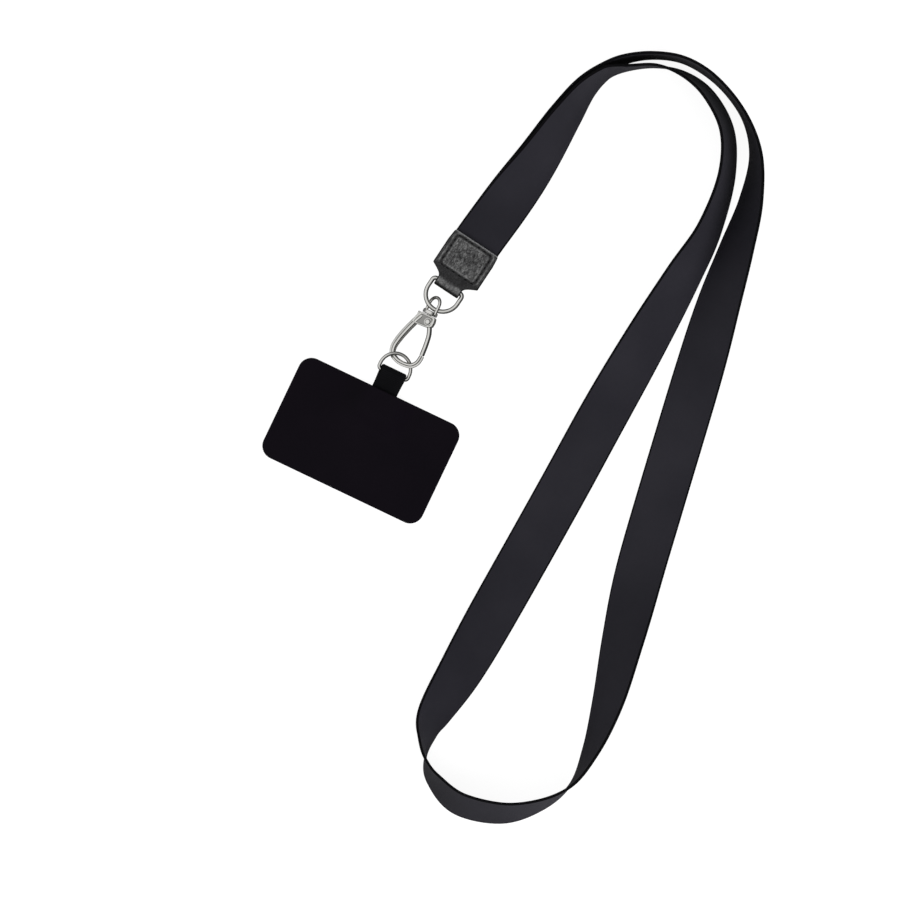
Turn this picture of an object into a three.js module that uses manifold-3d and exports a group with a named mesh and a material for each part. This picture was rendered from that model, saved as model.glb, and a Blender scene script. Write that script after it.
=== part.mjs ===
// Crossbody strap, laid flat: a ribbon loop closed in a leather tab, a D-ring in the tab's fold,
// a swivel snap hook on the D-ring, and a thin tether patch on a webbing loop and small D-ring.
// Millimetres and degrees. +Z is up, the surface that the strap lies on is Z = 0,
// and +Y runs along the loop from its low end to its top.
import * as THREE from 'three';
import { mergeVertices } from 'three/addons/utils/BufferGeometryUtils.js';
import Module from 'manifold-3d';

const wasm = await Module();
wasm.setup();

// Sides of the round parts
const wireSides = 10;
const pinSides = 16;
const collarSides = 24;
const stepsPerHookRow = 3;

// Ribbon loop
const strapWidth = 16.5;
const strapThickness = 1.0;
const loopSpanX = 116.6;
const loopSpanY = 257.0;
const strapTuck = 12.3;
const liftRun = 34.0;
const stationsPerRow = 4;
const rowsPastShared = 3;

// Leather tab
const leatherThickness = 1.0;
const softGap = 0.3;
const tabSideMargin = 0.6;
const mouthSideMargin = 0.25;
const tabBodyLength = 13.2;
const tabTaperRun = 3.1;
const tabNeckLength = 2.9;
const tabMouthRun = 4.0;
const tabNeckWidth = 9.4;
const tabTurn = 33.5;

// Large D-ring in the tab's fold
const dRingWire = 1.5;
const dRingReach = 9.2;
const dRingCorner = 1.2;
const dRingSideGap = 0.3;

// Swivel bail, which hangs on the D-ring's bow
const metalGap = 0.2;
const bailPlay = 0.3;
const bailWire = 1.1;
const bailInnerWidth = 3.6;
const bailReach = 3.8;
const bailRoll = 45;
const bailSeatTurn = 4;
const collarDiameter = 5.2;
const collarHeight = 1.4;
const postDiameter = 1.3;
const postHeadDiameter = 2.4;
const postHeadHeight = 0.4;
const postRoot = 0.5;

// Snap hook
const hookTurn = 26;
const hookRoll = 14;
const hookLength = 19.1;
const hookWidth = 12.0;
const hookBlockDepth = 3.2;
const gateWidth = 1.65;
const gateDepth = 1.2;
const knuckleDiameter = 2.6;
const rivetDiameter = 1.0;
const rivetHeadDiameter = 1.9;
const rivetHeadHeight = 0.35;

// Small D-ring of the tether
const tetherWire = 1.2;
const tetherReach = 7.2;
const tetherCorner = 1.1;
const tetherRoll = 13;
const tetherTurn = 25.5;
const tetherSlack = 1.0;
const tetherShift = 2.35;
const tetherDrop = 0.31;

// Webbing loop and patch
const webbingWidth = 9.0;
const webbingThickness = 1.0;
const webbingReach = 6.2;
const webbingClose = 5.0;
const webbingTail = 7.0;
const patchWidth = 58.7;
const patchLength = 36.6;
const patchThickness = 1.0;
const patchCorner = 4.6;
const patchDrape = 8.0;

// The loop's route from the tab's mouth and back: centres as shares of the two spans, and the roll
// of the ribbon's width in degrees, 0 lying flat and 90 standing on its edge.
const routeRows = [
  { across: 0.075, along: 0.0475, roll: 10 },
  { across: 0.168, along: 0.108, roll: 35 },
  { across: 0.249, along: 0.166, roll: 54 },
  { across: 0.307, along: 0.203, roll: 68 },
  { across: 0.360, along: 0.2235, roll: 77 },
  { across: 0.413, along: 0.236, roll: 82 },
  { across: 0.493, along: 0.242, roll: 85 },
  { across: 0.580, along: 0.2375, roll: 86 },
  { across: 0.650, along: 0.2215, roll: 86 },
  { across: 0.714, along: 0.195, roll: 87 },
  { across: 0.766, along: 0.160, roll: 86 },
  { across: 0.794, along: 0.116, roll: 79 },
  { across: 0.781, along: 0.0545, roll: 64 },
  { across: 0.740, along: -0.008, roll: 48 },
  { across: 0.691, along: -0.077, roll: 31 },
  { across: 0.636, along: -0.163, roll: 12 },
  { across: 0.583, along: -0.244, roll: 3 },
  { across: 0.523, along: -0.335, roll: 3 },
  { across: 0.465, along: -0.425, roll: 12 },
  { across: 0.415, along: -0.516, roll: 34 },
  { across: 0.373, along: -0.594, roll: 53 },
  { across: 0.323, along: -0.658, roll: 73 },
  { across: 0.266, along: -0.7025, roll: 90 },
  { across: 0.179, along: -0.7275, roll: 104 },
  { across: 0.065, along: -0.738, roll: 116 },
  { across: -0.051, along: -0.726, roll: 118 },
  { across: -0.123, along: -0.695, roll: 107 },
  { across: -0.147, along: -0.668, roll: 91 },
  { across: -0.144, along: -0.639, roll: 70 },
  { across: -0.124, along: -0.611, roll: 48 },
  { across: -0.0455, along: -0.553, roll: 25 },
  { across: 0.052, along: -0.475, roll: 7 },
  { across: 0.159, along: -0.389, roll: 2 },
  { across: 0.256, along: -0.310, roll: 2 },
  { across: 0.357, along: -0.226, roll: 7 },
  { across: 0.471, along: -0.135, roll: 23 },
  { across: 0.586, along: -0.0445, roll: 43 },
  { across: 0.664, along: 0.0195, roll: 60 },
  { across: 0.7135, along: 0.093, roll: 70 },
  { across: 0.711, along: 0.147, roll: 73 },
  { across: 0.660, along: 0.1915, roll: 76 },
  { across: 0.594, along: 0.2165, roll: 82 },
  { across: 0.510, along: 0.2285, roll: 90 },
  { across: 0.436, along: 0.2265, roll: 93 },
];
const sharedRows = 5;

// The hook's fixed arm, from the block to the nose: centres as shares of the hook's length and
// width from its shoulder, and the arm's own width and depth in millimetres.
const hookRows = [
  { along: 0.05, across: -0.18, width: 2.3, depth: 2.6 },
  { along: 0.215, across: -0.296, width: 2.3, depth: 2.5 },
  { along: 0.405, across: -0.403, width: 2.3, depth: 2.4 },
  { along: 0.595, across: -0.485, width: 2.3, depth: 2.3 },
  { along: 0.757, across: -0.517, width: 2.1, depth: 2.0 },
  { along: 0.877, across: -0.455, width: 1.9, depth: 1.75 },
  { along: 0.946, across: -0.26, width: 1.75, depth: 1.6 },
  { along: 0.957, across: -0.025, width: 1.7, depth: 1.6 },
  { along: 0.928, across: 0.172, width: 1.7, depth: 1.6 },
  { along: 0.845, across: 0.29, width: 1.7, depth: 1.6 },
  { along: 0.76, across: 0.322, width: 1.7, depth: 1.6 },
  { along: 0.697, across: 0.327, width: 1.6, depth: 1.5 },
];
const blockRows = [
  { along: 0.0, across: -0.22 },
  { along: 0.0, across: 0.22 },
  { along: 0.075, across: 0.25 },
  { along: 0.17, across: 0.24 },
  { along: 0.215, across: 0.09 },
  { along: 0.225, across: -0.16 },
  { along: 0.225, across: -0.37 },
  { along: 0.09, across: -0.31 },
];
const rivetSeat = { along: 0.113, across: 0.08 };
const gateRows = [
  { along: 0.16, across: 0.145 },
  { along: 0.31, across: 0.245 },
  { along: 0.5, across: 0.295 },
  { along: 0.664, across: 0.318 },
];

// Values that follow from the ones above
const radians = Math.PI / 180;
const layerStep = strapThickness + softGap;
const tabHalfGap = layerStep + softGap / 2;
const tabAxisHeight = leatherThickness + tabHalfGap;
const tabLength = tabBodyLength + tabTaperRun + tabNeckLength;
const barFromMouth = tabLength - leatherThickness - softGap - dRingWire / 2;
const dRingHalfWidth = tabNeckWidth / 2 + dRingSideGap + dRingWire / 2;
const collarTop = -(dRingWire / 2 + bailPlay);
const collarBottom = collarTop - collarHeight;
const shoulder = collarBottom - metalGap;
const postTop = collarTop - metalGap / 2;
const tetherHalfWidth = webbingWidth / 2 + softGap + tetherWire / 2;
const webbingFoldRadius = tetherWire / 2 + softGap + webbingThickness;
const tetherBarHeight = webbingFoldRadius * Math.cos(tetherRoll * radians)
  + (webbingWidth / 2) * Math.sin(tetherRoll * radians);
const hookAxisHeight = tetherBarHeight + tetherDrop;
const tailHeight = 2 * webbingThickness;
const bendRow = hookRows.reduce((low, row) => (row.along > low.along ? row : low));
const bendInnerEdge = shoulder - hookLength + bendRow.width;
const tetherBar = bendInnerEdge + tetherWire / 2 + tetherSlack - tetherReach;

// Solids from rings of points: each section is a ring with the same number of points.
function closedGeometry(positions, indices) {
  let volume = 0;
  for (let i = 0; i < indices.length; i += 3) {
    const [a, b, c] = [positions[indices[i]], positions[indices[i + 1]], positions[indices[i + 2]]];
    volume += a.dot(b.clone().cross(c));
  }
  const order = volume > 0 ? indices : indices.slice().reverse();
  const geometry = new THREE.BufferGeometry();
  geometry.setAttribute('position', new THREE.Float32BufferAttribute(positions.flatMap((p) => p.toArray()), 3));
  geometry.setIndex(order);
  return geometry;
}

function sweep(sections, closed) {
  const size = sections[0].length;
  const indices = [];
  const last = closed ? sections.length : sections.length - 1;
  for (let i = 0; i < last; i += 1) {
    const near = i * size;
    const far = ((i + 1) % sections.length) * size;
    for (let k = 0; k < size; k += 1) {
      const next = (k + 1) % size;
      indices.push(near + k, near + next, far + next, near + k, far + next, far + k);
    }
  }
  if (!closed) {
    const end = (sections.length - 1) * size;
    for (let k = 0; k < size / 2 - 1; k += 1) {
      const [a, b, c, d] = [k, k + 1, size - 2 - k, size - 1 - k];
      indices.push(a, c, b, a, d, c);
      indices.push(end + a, end + b, end + c, end + a, end + c, end + d);
    }
  }
  return closedGeometry(sections.flat(), indices.filter(
    (value, i, all) => {
      const start = i - (i % 3);
      return all[start] !== all[start + 1] && all[start + 1] !== all[start + 2] && all[start] !== all[start + 2];
    }));
}

function ellipseSection(centre, side, up, width, depth, points) {
  return Array.from({ length: points }, (_, k) => {
    const angle = ((k + 0.5) / points) * 2 * Math.PI;
    return centre.clone()
      .addScaledVector(side, (width / 2) * Math.cos(angle))
      .addScaledVector(up, (depth / 2) * Math.sin(angle));
  });
}

// A wire or arm along plan points: its sections stand across the path.
function armGeometry(points, widths, depths, closed, sides) {
  const count = points.length;
  const up = new THREE.Vector3(0, 0, 1);
  const sections = points.map((point, i) => {
    const before = points[closed ? (i + count - 1) % count : Math.max(i - 1, 0)];
    const after = points[closed ? (i + 1) % count : Math.min(i + 1, count - 1)];
    const side = after.clone().sub(before).normalize().cross(up);
    return ellipseSection(point, side, up, widths[i], depths[i], sides);
  });
  return sweep(sections, closed);
}

function toManifold(geometry) {
  const bare = geometry.clone();
  bare.deleteAttribute('uv');
  bare.deleteAttribute('normal');
  const merged = mergeVertices(bare, 1e-4);
  return new wasm.Manifold(new wasm.Mesh({
    numProp: 3,
    vertProperties: new Float32Array(merged.attributes.position.array),
    triVerts: new Uint32Array(merged.index.array),
  }));
}

function fromManifold(solid) {
  const mesh = solid.getMesh();
  const geometry = new THREE.BufferGeometry();
  geometry.setAttribute('position', new THREE.Float32BufferAttribute(mesh.vertProperties, 3));
  geometry.setIndex(Array.from(mesh.triVerts));
  return geometry;
}

function turned(geometry, axis, degrees) {
  return geometry.applyMatrix4(new THREE.Matrix4().makeRotationAxis(axis, degrees * radians));
}

function extruded(points, depth) {
  const shape = new THREE.Shape(points.map(([x, y]) => new THREE.Vector2(x, y)));
  return new THREE.ExtrudeGeometry(shape, { depth, bevelEnabled: false }).translate(0, 0, -depth / 2);
}

function boxBetween(low, high) {
  const size = high.map((value, i) => value - low[i]);
  const middle = high.map((value, i) => (value + low[i]) / 2);
  return new THREE.BoxGeometry(...size).translate(...middle);
}

function cylinderAcross(diameter, depth, x, y) {
  return turned(new THREE.CylinderGeometry(diameter / 2, diameter / 2, depth, pinSides),
    new THREE.Vector3(1, 0, 0), 90).translate(x, y, 0);
}

const materials = {
  ribbon: new THREE.MeshStandardMaterial({ color: 0x29292e, roughness: 0.55, metalness: 0 }),
  leather: new THREE.MeshStandardMaterial({ color: 0x3f3f41, roughness: 0.6, metalness: 0 }),
  nickel: new THREE.MeshStandardMaterial({ color: 0xcfcfca, roughness: 0.16, metalness: 1 }),
  webbing: new THREE.MeshStandardMaterial({ color: 0x121114, roughness: 0.8, metalness: 0 }),
  patch: new THREE.MeshStandardMaterial({ color: 0x151016, roughness: 0.7, metalness: 0 }),
};

function named(name, geometry, material) {
  geometry.deleteAttribute('uv');
  geometry.computeVertexNormals();
  const mesh = new THREE.Mesh(geometry, material.clone());
  mesh.name = name;
  return mesh;
}

// Ribbon: one closed strip whose two ends lie on each other inside the tab.
const mouthDirection = new THREE.Vector2(Math.sin(tabTurn * radians), Math.cos(tabTurn * radians));

function routeCurve(rows, tail) {
  const tuckPoints = [strapTuck, strapTuck / 2, 0].map((back) => {
    const place = mouthDirection.clone().multiplyScalar(-back);
    return new THREE.Vector3(place.x, place.y, 0);
  });
  const rowPoints = rows.map((row) => new THREE.Vector3(row.across * loopSpanX, row.along * loopSpanY, row.roll));
  return new THREE.CatmullRomCurve3([...tuckPoints, ...rowPoints, ...tail], false, 'centripetal');
}

function sampleRoute(curve, pointCount) {
  const count = (curve.points.length - 1) * stationsPerRow;
  const samples = [];
  for (let j = 0; j <= Math.min(count, (pointCount - 1) * stationsPerRow); j += 1) {
    samples.push(curve.getPoint(j / count));
  }
  return samples;
}

function smoothStep(value) {
  const share = Math.min(Math.max(value, 0), 1);
  return share * share * (3 - 2 * share);
}

// The height at which a ribbon with this roll just touches the surface with its low edge
function restHeight(roll) {
  return (strapWidth / 2) * Math.abs(Math.sin(roll * radians))
    + (strapThickness / 2) * Math.abs(Math.cos(roll * radians));
}

function planTangent(samples, i) {
  const before = samples[Math.max(i - 1, 0)];
  const after = samples[Math.min(i + 1, samples.length - 1)];
  return new THREE.Vector3(after.x - before.x, after.y - before.y, 0).normalize();
}

function widthAxis(tangent, roll) {
  const left = new THREE.Vector3(-tangent.y, tangent.x, 0);
  return left.multiplyScalar(Math.cos(roll * radians)).add(new THREE.Vector3(0, 0, Math.sin(roll * radians)));
}

function ribbonStations() {
  const lead = sampleRoute(routeCurve(routeRows.slice(0, sharedRows + rowsPastShared), []),
    sharedRows + rowsPastShared);
  const outward = lead.map((sample, i) => {
    const fromMouth = sample.x * mouthDirection.x + sample.y * mouthDirection.y;
    const lift = (leatherThickness + softGap) * (1 - smoothStep(fromMouth / liftRun));
    return { x: sample.x, y: sample.y, z: restHeight(sample.z) + lift, roll: sample.z, tangent: planTangent(lead, i) };
  });
  const returning = outward.map((station) => {
    const step = station.tangent.clone().cross(widthAxis(station.tangent, station.roll)).multiplyScalar(layerStep);
    return {
      x: station.x + step.x,
      y: station.y + step.y,
      z: station.z + step.z,
      roll: 180 - station.roll,
    };
  }).reverse();
  const tail = [0, stationsPerRow].map((i) => new THREE.Vector3(returning[i].x, returning[i].y, returning[i].roll));
  const curve = routeCurve(routeRows, tail);
  const samples = sampleRoute(curve, curve.points.length - 1);
  const joinFrom = samples.length - 1 - stationsPerRow;
  const joinLift = returning[0].z - restHeight(returning[0].roll);
  const free = samples.map((sample, i) => {
    const shared = outward[i];
    const lift = joinLift * smoothStep((i - joinFrom) / stationsPerRow);
    return { x: sample.x, y: sample.y, z: shared ? shared.z : restHeight(sample.z) + lift, roll: sample.z };
  });
  return [...free, ...returning.slice(1)];
}

function ribbonGeometry() {
  const stations = ribbonStations();
  const centres = stations.map((station) => new THREE.Vector3(station.x, station.y, station.z));
  const sections = stations.map((station, i) => {
    const tangent = planTangent(centres, i);
    const wide = widthAxis(tangent, station.roll);
    const thick = tangent.clone().cross(wide);
    return [[-1, -1], [0, -1], [1, -1], [1, 1], [0, 1], [-1, 1]].map(([across, through]) => centres[i].clone()
      .addScaledVector(wide, (across * strapWidth) / 2)
      .addScaledVector(thick, (through * strapThickness) / 2));
  });
  return sweep(sections, false);
}

// Leather tab: a strip folded round the D-ring's bar, cut to the tab's outline.
function tabGeometry() {
  const inner = tabHalfGap;
  const outer = tabAxisHeight;
  const foldCentre = -(tabLength - outer);
  const arc = (radius, from, to) => Array.from({ length: 9 }, (_, k) => {
    const angle = (from + ((to - from) * k) / 8) * radians;
    return [foldCentre + radius * Math.cos(angle), radius * Math.sin(angle)];
  });
  const profile = [[0, outer], ...arc(outer, 90, 270), [0, -outer], [0, -inner], ...arc(inner, 270, 90), [0, inner]];
  const halfBody = strapWidth / 2 + tabSideMargin;
  const halfMouth = strapWidth / 2 + mouthSideMargin;
  const strip = turned(turned(extruded(profile, 2 * halfBody), new THREE.Vector3(1, 0, 0), 90),
    new THREE.Vector3(0, 0, 1), 90);
  const taper = Array.from({ length: 7 }, (_, k) => {
    const share = k / 6;
    const half = halfBody + (tabNeckWidth / 2 - halfBody) * Math.sin((share * Math.PI) / 2);
    return [half, -(tabBodyLength + share * tabTaperRun)];
  });
  const right = [[halfMouth, 0], [halfBody, -tabMouthRun], ...taper, [tabNeckWidth / 2, -tabLength - softGap]];
  const left = right.map(([x, y]) => [-x, y]).reverse();
  const outline = extruded([...left, ...right], 4 * outer);
  return fromManifold(toManifold(strip).intersect(toManifold(outline))).translate(0, 0, tabAxisHeight);
}

// A D-ring's centreline: a straight bar at y = 0 with round corners, two sides and a half-round bow.
function dRingPath(halfWidth, reach, corner) {
  const points = [];
  const addArc = (x, y, radius, from, to, steps) => {
    for (let k = 0; k <= steps; k += 1) {
      const angle = (from + ((to - from) * k) / steps) * radians;
      points.push(new THREE.Vector3(x + radius * Math.cos(angle), y + radius * Math.sin(angle), 0));
    }
  };
  addArc(halfWidth - corner, -corner, corner, 90, 0, 4);
  addArc(0, halfWidth - reach, halfWidth, 0, -180, 18);
  addArc(corner - halfWidth, -corner, corner, 180, 90, 4);
  return points;
}

function wireRing(path, wire) {
  return armGeometry(path, path.map(() => wire), path.map(() => wire), true, wireSides);
}

// Swivel bail: a wire stirrup fused to a collar with a counterbored hole for the hook's post.
function bailGeometry() {
  const half = (bailInnerWidth + bailWire) / 2;
  const legFoot = collarTop - collarHeight / 2;
  const path = [new THREE.Vector3(-half, legFoot, 0), new THREE.Vector3(-half, 0, 0)];
  for (let k = 0; k <= 12; k += 1) {
    const angle = Math.PI * (1 - k / 12);
    path.push(new THREE.Vector3(half * Math.cos(angle), bailReach - half + half * Math.sin(angle), 0));
  }
  path.push(new THREE.Vector3(half, 0, 0), new THREE.Vector3(half, legFoot, 0));
  const loop = armGeometry(path, path.map(() => bailWire), path.map(() => bailWire), false, wireSides);
  const hole = postDiameter / 2 + metalGap;
  const bore = postHeadDiameter / 2 + metalGap;
  const boreFloor = postTop - postHeadHeight - metalGap;
  const collar = new THREE.LatheGeometry([
    [hole, collarBottom], [collarDiameter / 2, collarBottom], [collarDiameter / 2, collarTop],
    [bore, collarTop], [bore, boreFloor], [hole, boreFloor], [hole, collarBottom],
  ].map(([r, y]) => new THREE.Vector2(r, y)), collarSides);
  return fromManifold(toManifold(loop).add(toManifold(collar)));
}

// Snap hook: places in the hook's plane from shares of its length and width
function hookPlace(row) {
  return new THREE.Vector3(row.across * hookWidth, shoulder - row.along * hookLength, 0);
}

function curveThrough(rows, stepsPerRow) {
  const curve = new THREE.CatmullRomCurve3(rows.map(hookPlace), false, 'centripetal');
  const steps = (rows.length - 1) * stepsPerRow;
  return Array.from({ length: steps + 1 }, (_, k) => curve.getPoint(k / steps));
}

function between(rows, column, stepsPerRow) {
  const steps = (rows.length - 1) * stepsPerRow;
  return Array.from({ length: steps + 1 }, (_, k) => {
    const low = Math.min(Math.floor(k / stepsPerRow), rows.length - 2);
    const share = k / stepsPerRow - low;
    return rows[low][column] * (1 - share) + rows[low + 1][column] * share;
  });
}

function hookGeometry() {
  const arm = armGeometry(curveThrough(hookRows, stepsPerHookRow), between(hookRows, 'width', stepsPerHookRow),
    between(hookRows, 'depth', stepsPerHookRow), false, wireSides);
  const block = extruded(blockRows.map((row) => hookPlace(row).toArray()), hookBlockDepth);
  const post = new THREE.LatheGeometry([
    [0, shoulder - postRoot], [postDiameter / 2, shoulder - postRoot], [postDiameter / 2, postTop - postHeadHeight],
    [postHeadDiameter / 2, postTop - postHeadHeight], [postHeadDiameter / 2, postTop], [0, postTop],
  ].map(([r, y]) => new THREE.Vector2(r, y)), pinSides);
  const rivet = hookPlace(rivetSeat);
  const slotDepth = gateDepth + 2 * metalGap;
  const slotReach = knuckleDiameter / 2 + metalGap;
  const slotRound = cylinderAcross(2 * slotReach, slotDepth, rivet.x, rivet.y);
  const slotMouth = boxBetween(
    [rivet.x - slotReach, rivet.y - knuckleDiameter * 2, -slotDepth / 2],
    [rivet.x + knuckleDiameter * 2, rivet.y, slotDepth / 2]);
  const slotSide = boxBetween(
    [rivet.x, rivet.y - slotReach, -slotDepth / 2],
    [rivet.x + knuckleDiameter * 2, rivet.y + slotReach, slotDepth / 2]);
  const hole = cylinderAcross(rivetDiameter + 2 * metalGap, 2 * hookBlockDepth, rivet.x, rivet.y);
  return fromManifold(toManifold(arm).add(toManifold(block)).add(toManifold(post))
    .subtract(toManifold(slotRound)).subtract(toManifold(slotMouth)).subtract(toManifold(slotSide))
    .subtract(toManifold(hole)));
}

function gateGeometry() {
  const path = curveThrough(gateRows, stepsPerHookRow);
  const arm = armGeometry(path, path.map(() => gateWidth), path.map(() => gateDepth), false, wireSides);
  const rivet = hookPlace(rivetSeat);
  const knuckle = cylinderAcross(knuckleDiameter, gateDepth, rivet.x, rivet.y);
  const hole = cylinderAcross(rivetDiameter + 2 * metalGap, 2 * hookBlockDepth, rivet.x, rivet.y);
  return fromManifold(toManifold(knuckle).add(toManifold(arm)).subtract(toManifold(hole)));
}

function rivetGeometry() {
  const rivet = hookPlace(rivetSeat);
  const seat = hookBlockDepth / 2 + metalGap;
  const half = rivetDiameter / 2;
  const head = rivetHeadDiameter / 2;
  const profile = [
    [0, -seat - rivetHeadHeight], [head, -seat - rivetHeadHeight], [head, -seat], [half, -seat],
    [half, seat], [head, seat], [head, seat + rivetHeadHeight], [0, seat + rivetHeadHeight],
  ];
  const lathe = new THREE.LatheGeometry(profile.map(([r, y]) => new THREE.Vector2(r, y)), pinSides);
  const solid = toManifold(turned(lathe, new THREE.Vector3(1, 0, 0), 90));
  return fromManifold(solid).translate(rivet.x, rivet.y, 0);
}

// Webbing loop: its side outline is a round fold about the small ring's bar that comes down and closes
// into a flat double tail; across its width it rolls with the ring and lies flat at the patch.
function webbingGeometry() {
  const outer = webbingFoldRadius;
  const inner = outer - webbingThickness;
  const tailEnd = webbingReach + webbingTail;
  const steps = 8;
  const half = (along) => outer + (webbingThickness - outer) * smoothStep(along / webbingClose);
  const turn = (radius) => Array.from({ length: 9 }, (_, k) => {
    const angle = (90 + (180 * k) / 8) * radians;
    return [radius * Math.cos(angle), radius * Math.sin(angle)];
  });
  const upper = (offset) => Array.from({ length: steps }, (_, k) => {
    const along = ((k + 1) / steps) * webbingClose;
    return [along, half(along) - offset];
  });
  const middle = (along) => tetherBarHeight + (webbingThickness - tetherBarHeight) * smoothStep(along / webbingReach);
  const placed = ([along, height]) => new THREE.Vector2(along, middle(along) + height);
  const outerTop = [...upper(0), [webbingReach, webbingThickness], [tailEnd, webbingThickness]];
  const outline = [...outerTop.slice().reverse(), ...turn(outer), ...outerTop.map(([s, h]) => [s, -h])];
  const innerTop = upper(webbingThickness).slice(0, steps - 1);
  const hole = [...innerTop.slice().reverse(), ...turn(inner), ...innerTop.map(([s, h]) => [s, -h])];
  const shape = new THREE.Shape(outline.map(placed));
  shape.holes.push(new THREE.Path(hole.map(placed)));
  const geometry = new THREE.ExtrudeGeometry(shape, { depth: webbingWidth, steps: 2, bevelEnabled: false });
  const place = geometry.attributes.position;
  for (let i = 0; i < place.count; i += 1) {
    const along = place.getX(i);
    const height = place.getY(i) - middle(along);
    const across = webbingWidth / 2 - place.getZ(i);
    const roll = tetherRoll * (1 - smoothStep(along / webbingReach)) * radians;
    place.setXYZ(i, across * Math.cos(roll) + height * Math.sin(roll), -along,
      middle(along) + height * Math.cos(roll) - across * Math.sin(roll));
  }
  return fromManifold(toManifold(geometry));
}

// Patch: a thin sheet with round corners that lies over the webbing's tail and settles beside it.
function patchGeometry() {
  const columns = 26;
  const cornerRows = [0, 0.12, 0.4, 1];
  const middleRows = Array.from({ length: 11 }, (_, k) => (k + 1) / 12);
  const straight = patchLength - 2 * patchCorner;
  const places = [
    ...cornerRows.map((share) => share * patchCorner),
    ...middleRows.map((share) => patchCorner + share * straight),
    ...cornerRows.slice().reverse().map((share) => patchLength - share * patchCorner),
  ];
  const tailWithin = webbingTail + softGap;
  const tailHalf = webbingWidth / 2 + softGap;
  const sections = places.map((along) => {
    const intoCorner = Math.max(patchCorner - along, along - patchLength + patchCorner, 0);
    const inset = patchCorner - Math.sqrt(Math.max(patchCorner ** 2 - intoCorner ** 2, 0));
    const halfWidth = patchWidth / 2 - inset;
    const point = (share, top) => {
      const across = halfWidth * share * (0.5 + 0.5 * share * share);
      const beside = 1 - smoothStep((Math.abs(across) - tailHalf) / patchDrape);
      const beyond = 1 - smoothStep((along - tailWithin) / patchDrape);
      const lift = (tailHeight + softGap) * beside * beyond;
      return new THREE.Vector3(across, -webbingReach - along, lift + (top ? patchThickness : 0));
    };
    const shares = Array.from({ length: columns + 1 }, (_, k) => (2 * k) / columns - 1);
    return [...shares.map((share) => point(share, true)), ...shares.reverse().map((share) => point(share, false))];
  });
  return sweep(sections, false);
}

// Places of the hardware, one group inside the next
function group(parent, x, y, z) {
  const made = new THREE.Group();
  made.position.set(x, y, z);
  parent.add(made);
  return made;
}

const laid = new THREE.Group();
laid.add(named('strap_ribbon', ribbonGeometry(), materials.ribbon));

const tab = group(laid, 0, 0, 0);
tab.rotation.z = -tabTurn * radians;
tab.add(named('leather_tab', tabGeometry(), materials.leather));

const dRing = group(tab, 0, -barFromMouth, tabAxisHeight);
const dRingTilt = Math.asin((hookAxisHeight - tabAxisHeight) / dRingReach);
dRing.rotation.x = -dRingTilt;
dRing.add(named('d_ring', wireRing(dRingPath(dRingHalfWidth, dRingReach, dRingCorner), dRingWire),
  materials.nickel));

// The bail hangs on the bow a little to the left of its lowest point.
const bowCentre = dRingReach - dRingHalfWidth;
const seatX = -dRingHalfWidth * Math.sin(bailSeatTurn * radians);
const seatY = -barFromMouth - (bowCentre + dRingHalfWidth * Math.cos(bailSeatTurn * radians)) * Math.cos(dRingTilt);
const seat = new THREE.Vector3(seatX, seatY, hookAxisHeight)
  .applyAxisAngle(new THREE.Vector3(0, 0, 1), -tabTurn * radians);
const hanging = group(laid, seat.x, seat.y, seat.z);
hanging.rotation.z = -hookTurn * radians;

const bail = group(hanging, 0, 0, 0);
bail.rotation.y = -bailRoll * radians;
bail.add(named('swivel_bail', bailGeometry(), materials.nickel));

const hook = group(hanging, 0, 0, 0);
hook.rotation.y = -hookRoll * radians;
hook.add(named('snap_hook', hookGeometry(), materials.nickel));
hook.add(named('hook_gate', gateGeometry(), materials.nickel));
hook.add(named('gate_rivet', rivetGeometry(), materials.nickel));

// The tether: the small ring's bar is the origin of its ring, webbing and patch.
const tether = group(hanging, -tetherShift, tetherBar, -hookAxisHeight);
tether.rotation.z = (hookTurn - tetherTurn) * radians;
const smallRing = group(tether, 0, 0, tetherBarHeight);
smallRing.rotation.y = tetherRoll * radians;
smallRing.add(named('tether_ring', wireRing(
  dRingPath(tetherHalfWidth, tetherReach, tetherCorner).map((p) => new THREE.Vector3(p.x, -p.y, 0)),
  tetherWire), materials.nickel));
tether.add(named('tether_webbing', webbingGeometry(), materials.webbing));
tether.add(named('tether_patch', patchGeometry(), materials.patch));

// The origin is below the middle of the whole strap, on the surface that it lies on.
laid.updateMatrixWorld(true);
const bounds = new THREE.Box3().setFromObject(laid, true);
laid.position.set(-(bounds.min.x + bounds.max.x) / 2, -(bounds.min.y + bounds.max.y) / 2, -bounds.min.z);

const strap = new THREE.Group();
strap.add(laid);
strap.updateMatrixWorld(true);

export default strap;
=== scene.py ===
# Crossbody strap laid flat: ribbon loop, leather tab, D-ring, swivel snap hook and tether.
# Sizes are in millimetres until a mesh is made, angles in degrees.
import math

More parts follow.
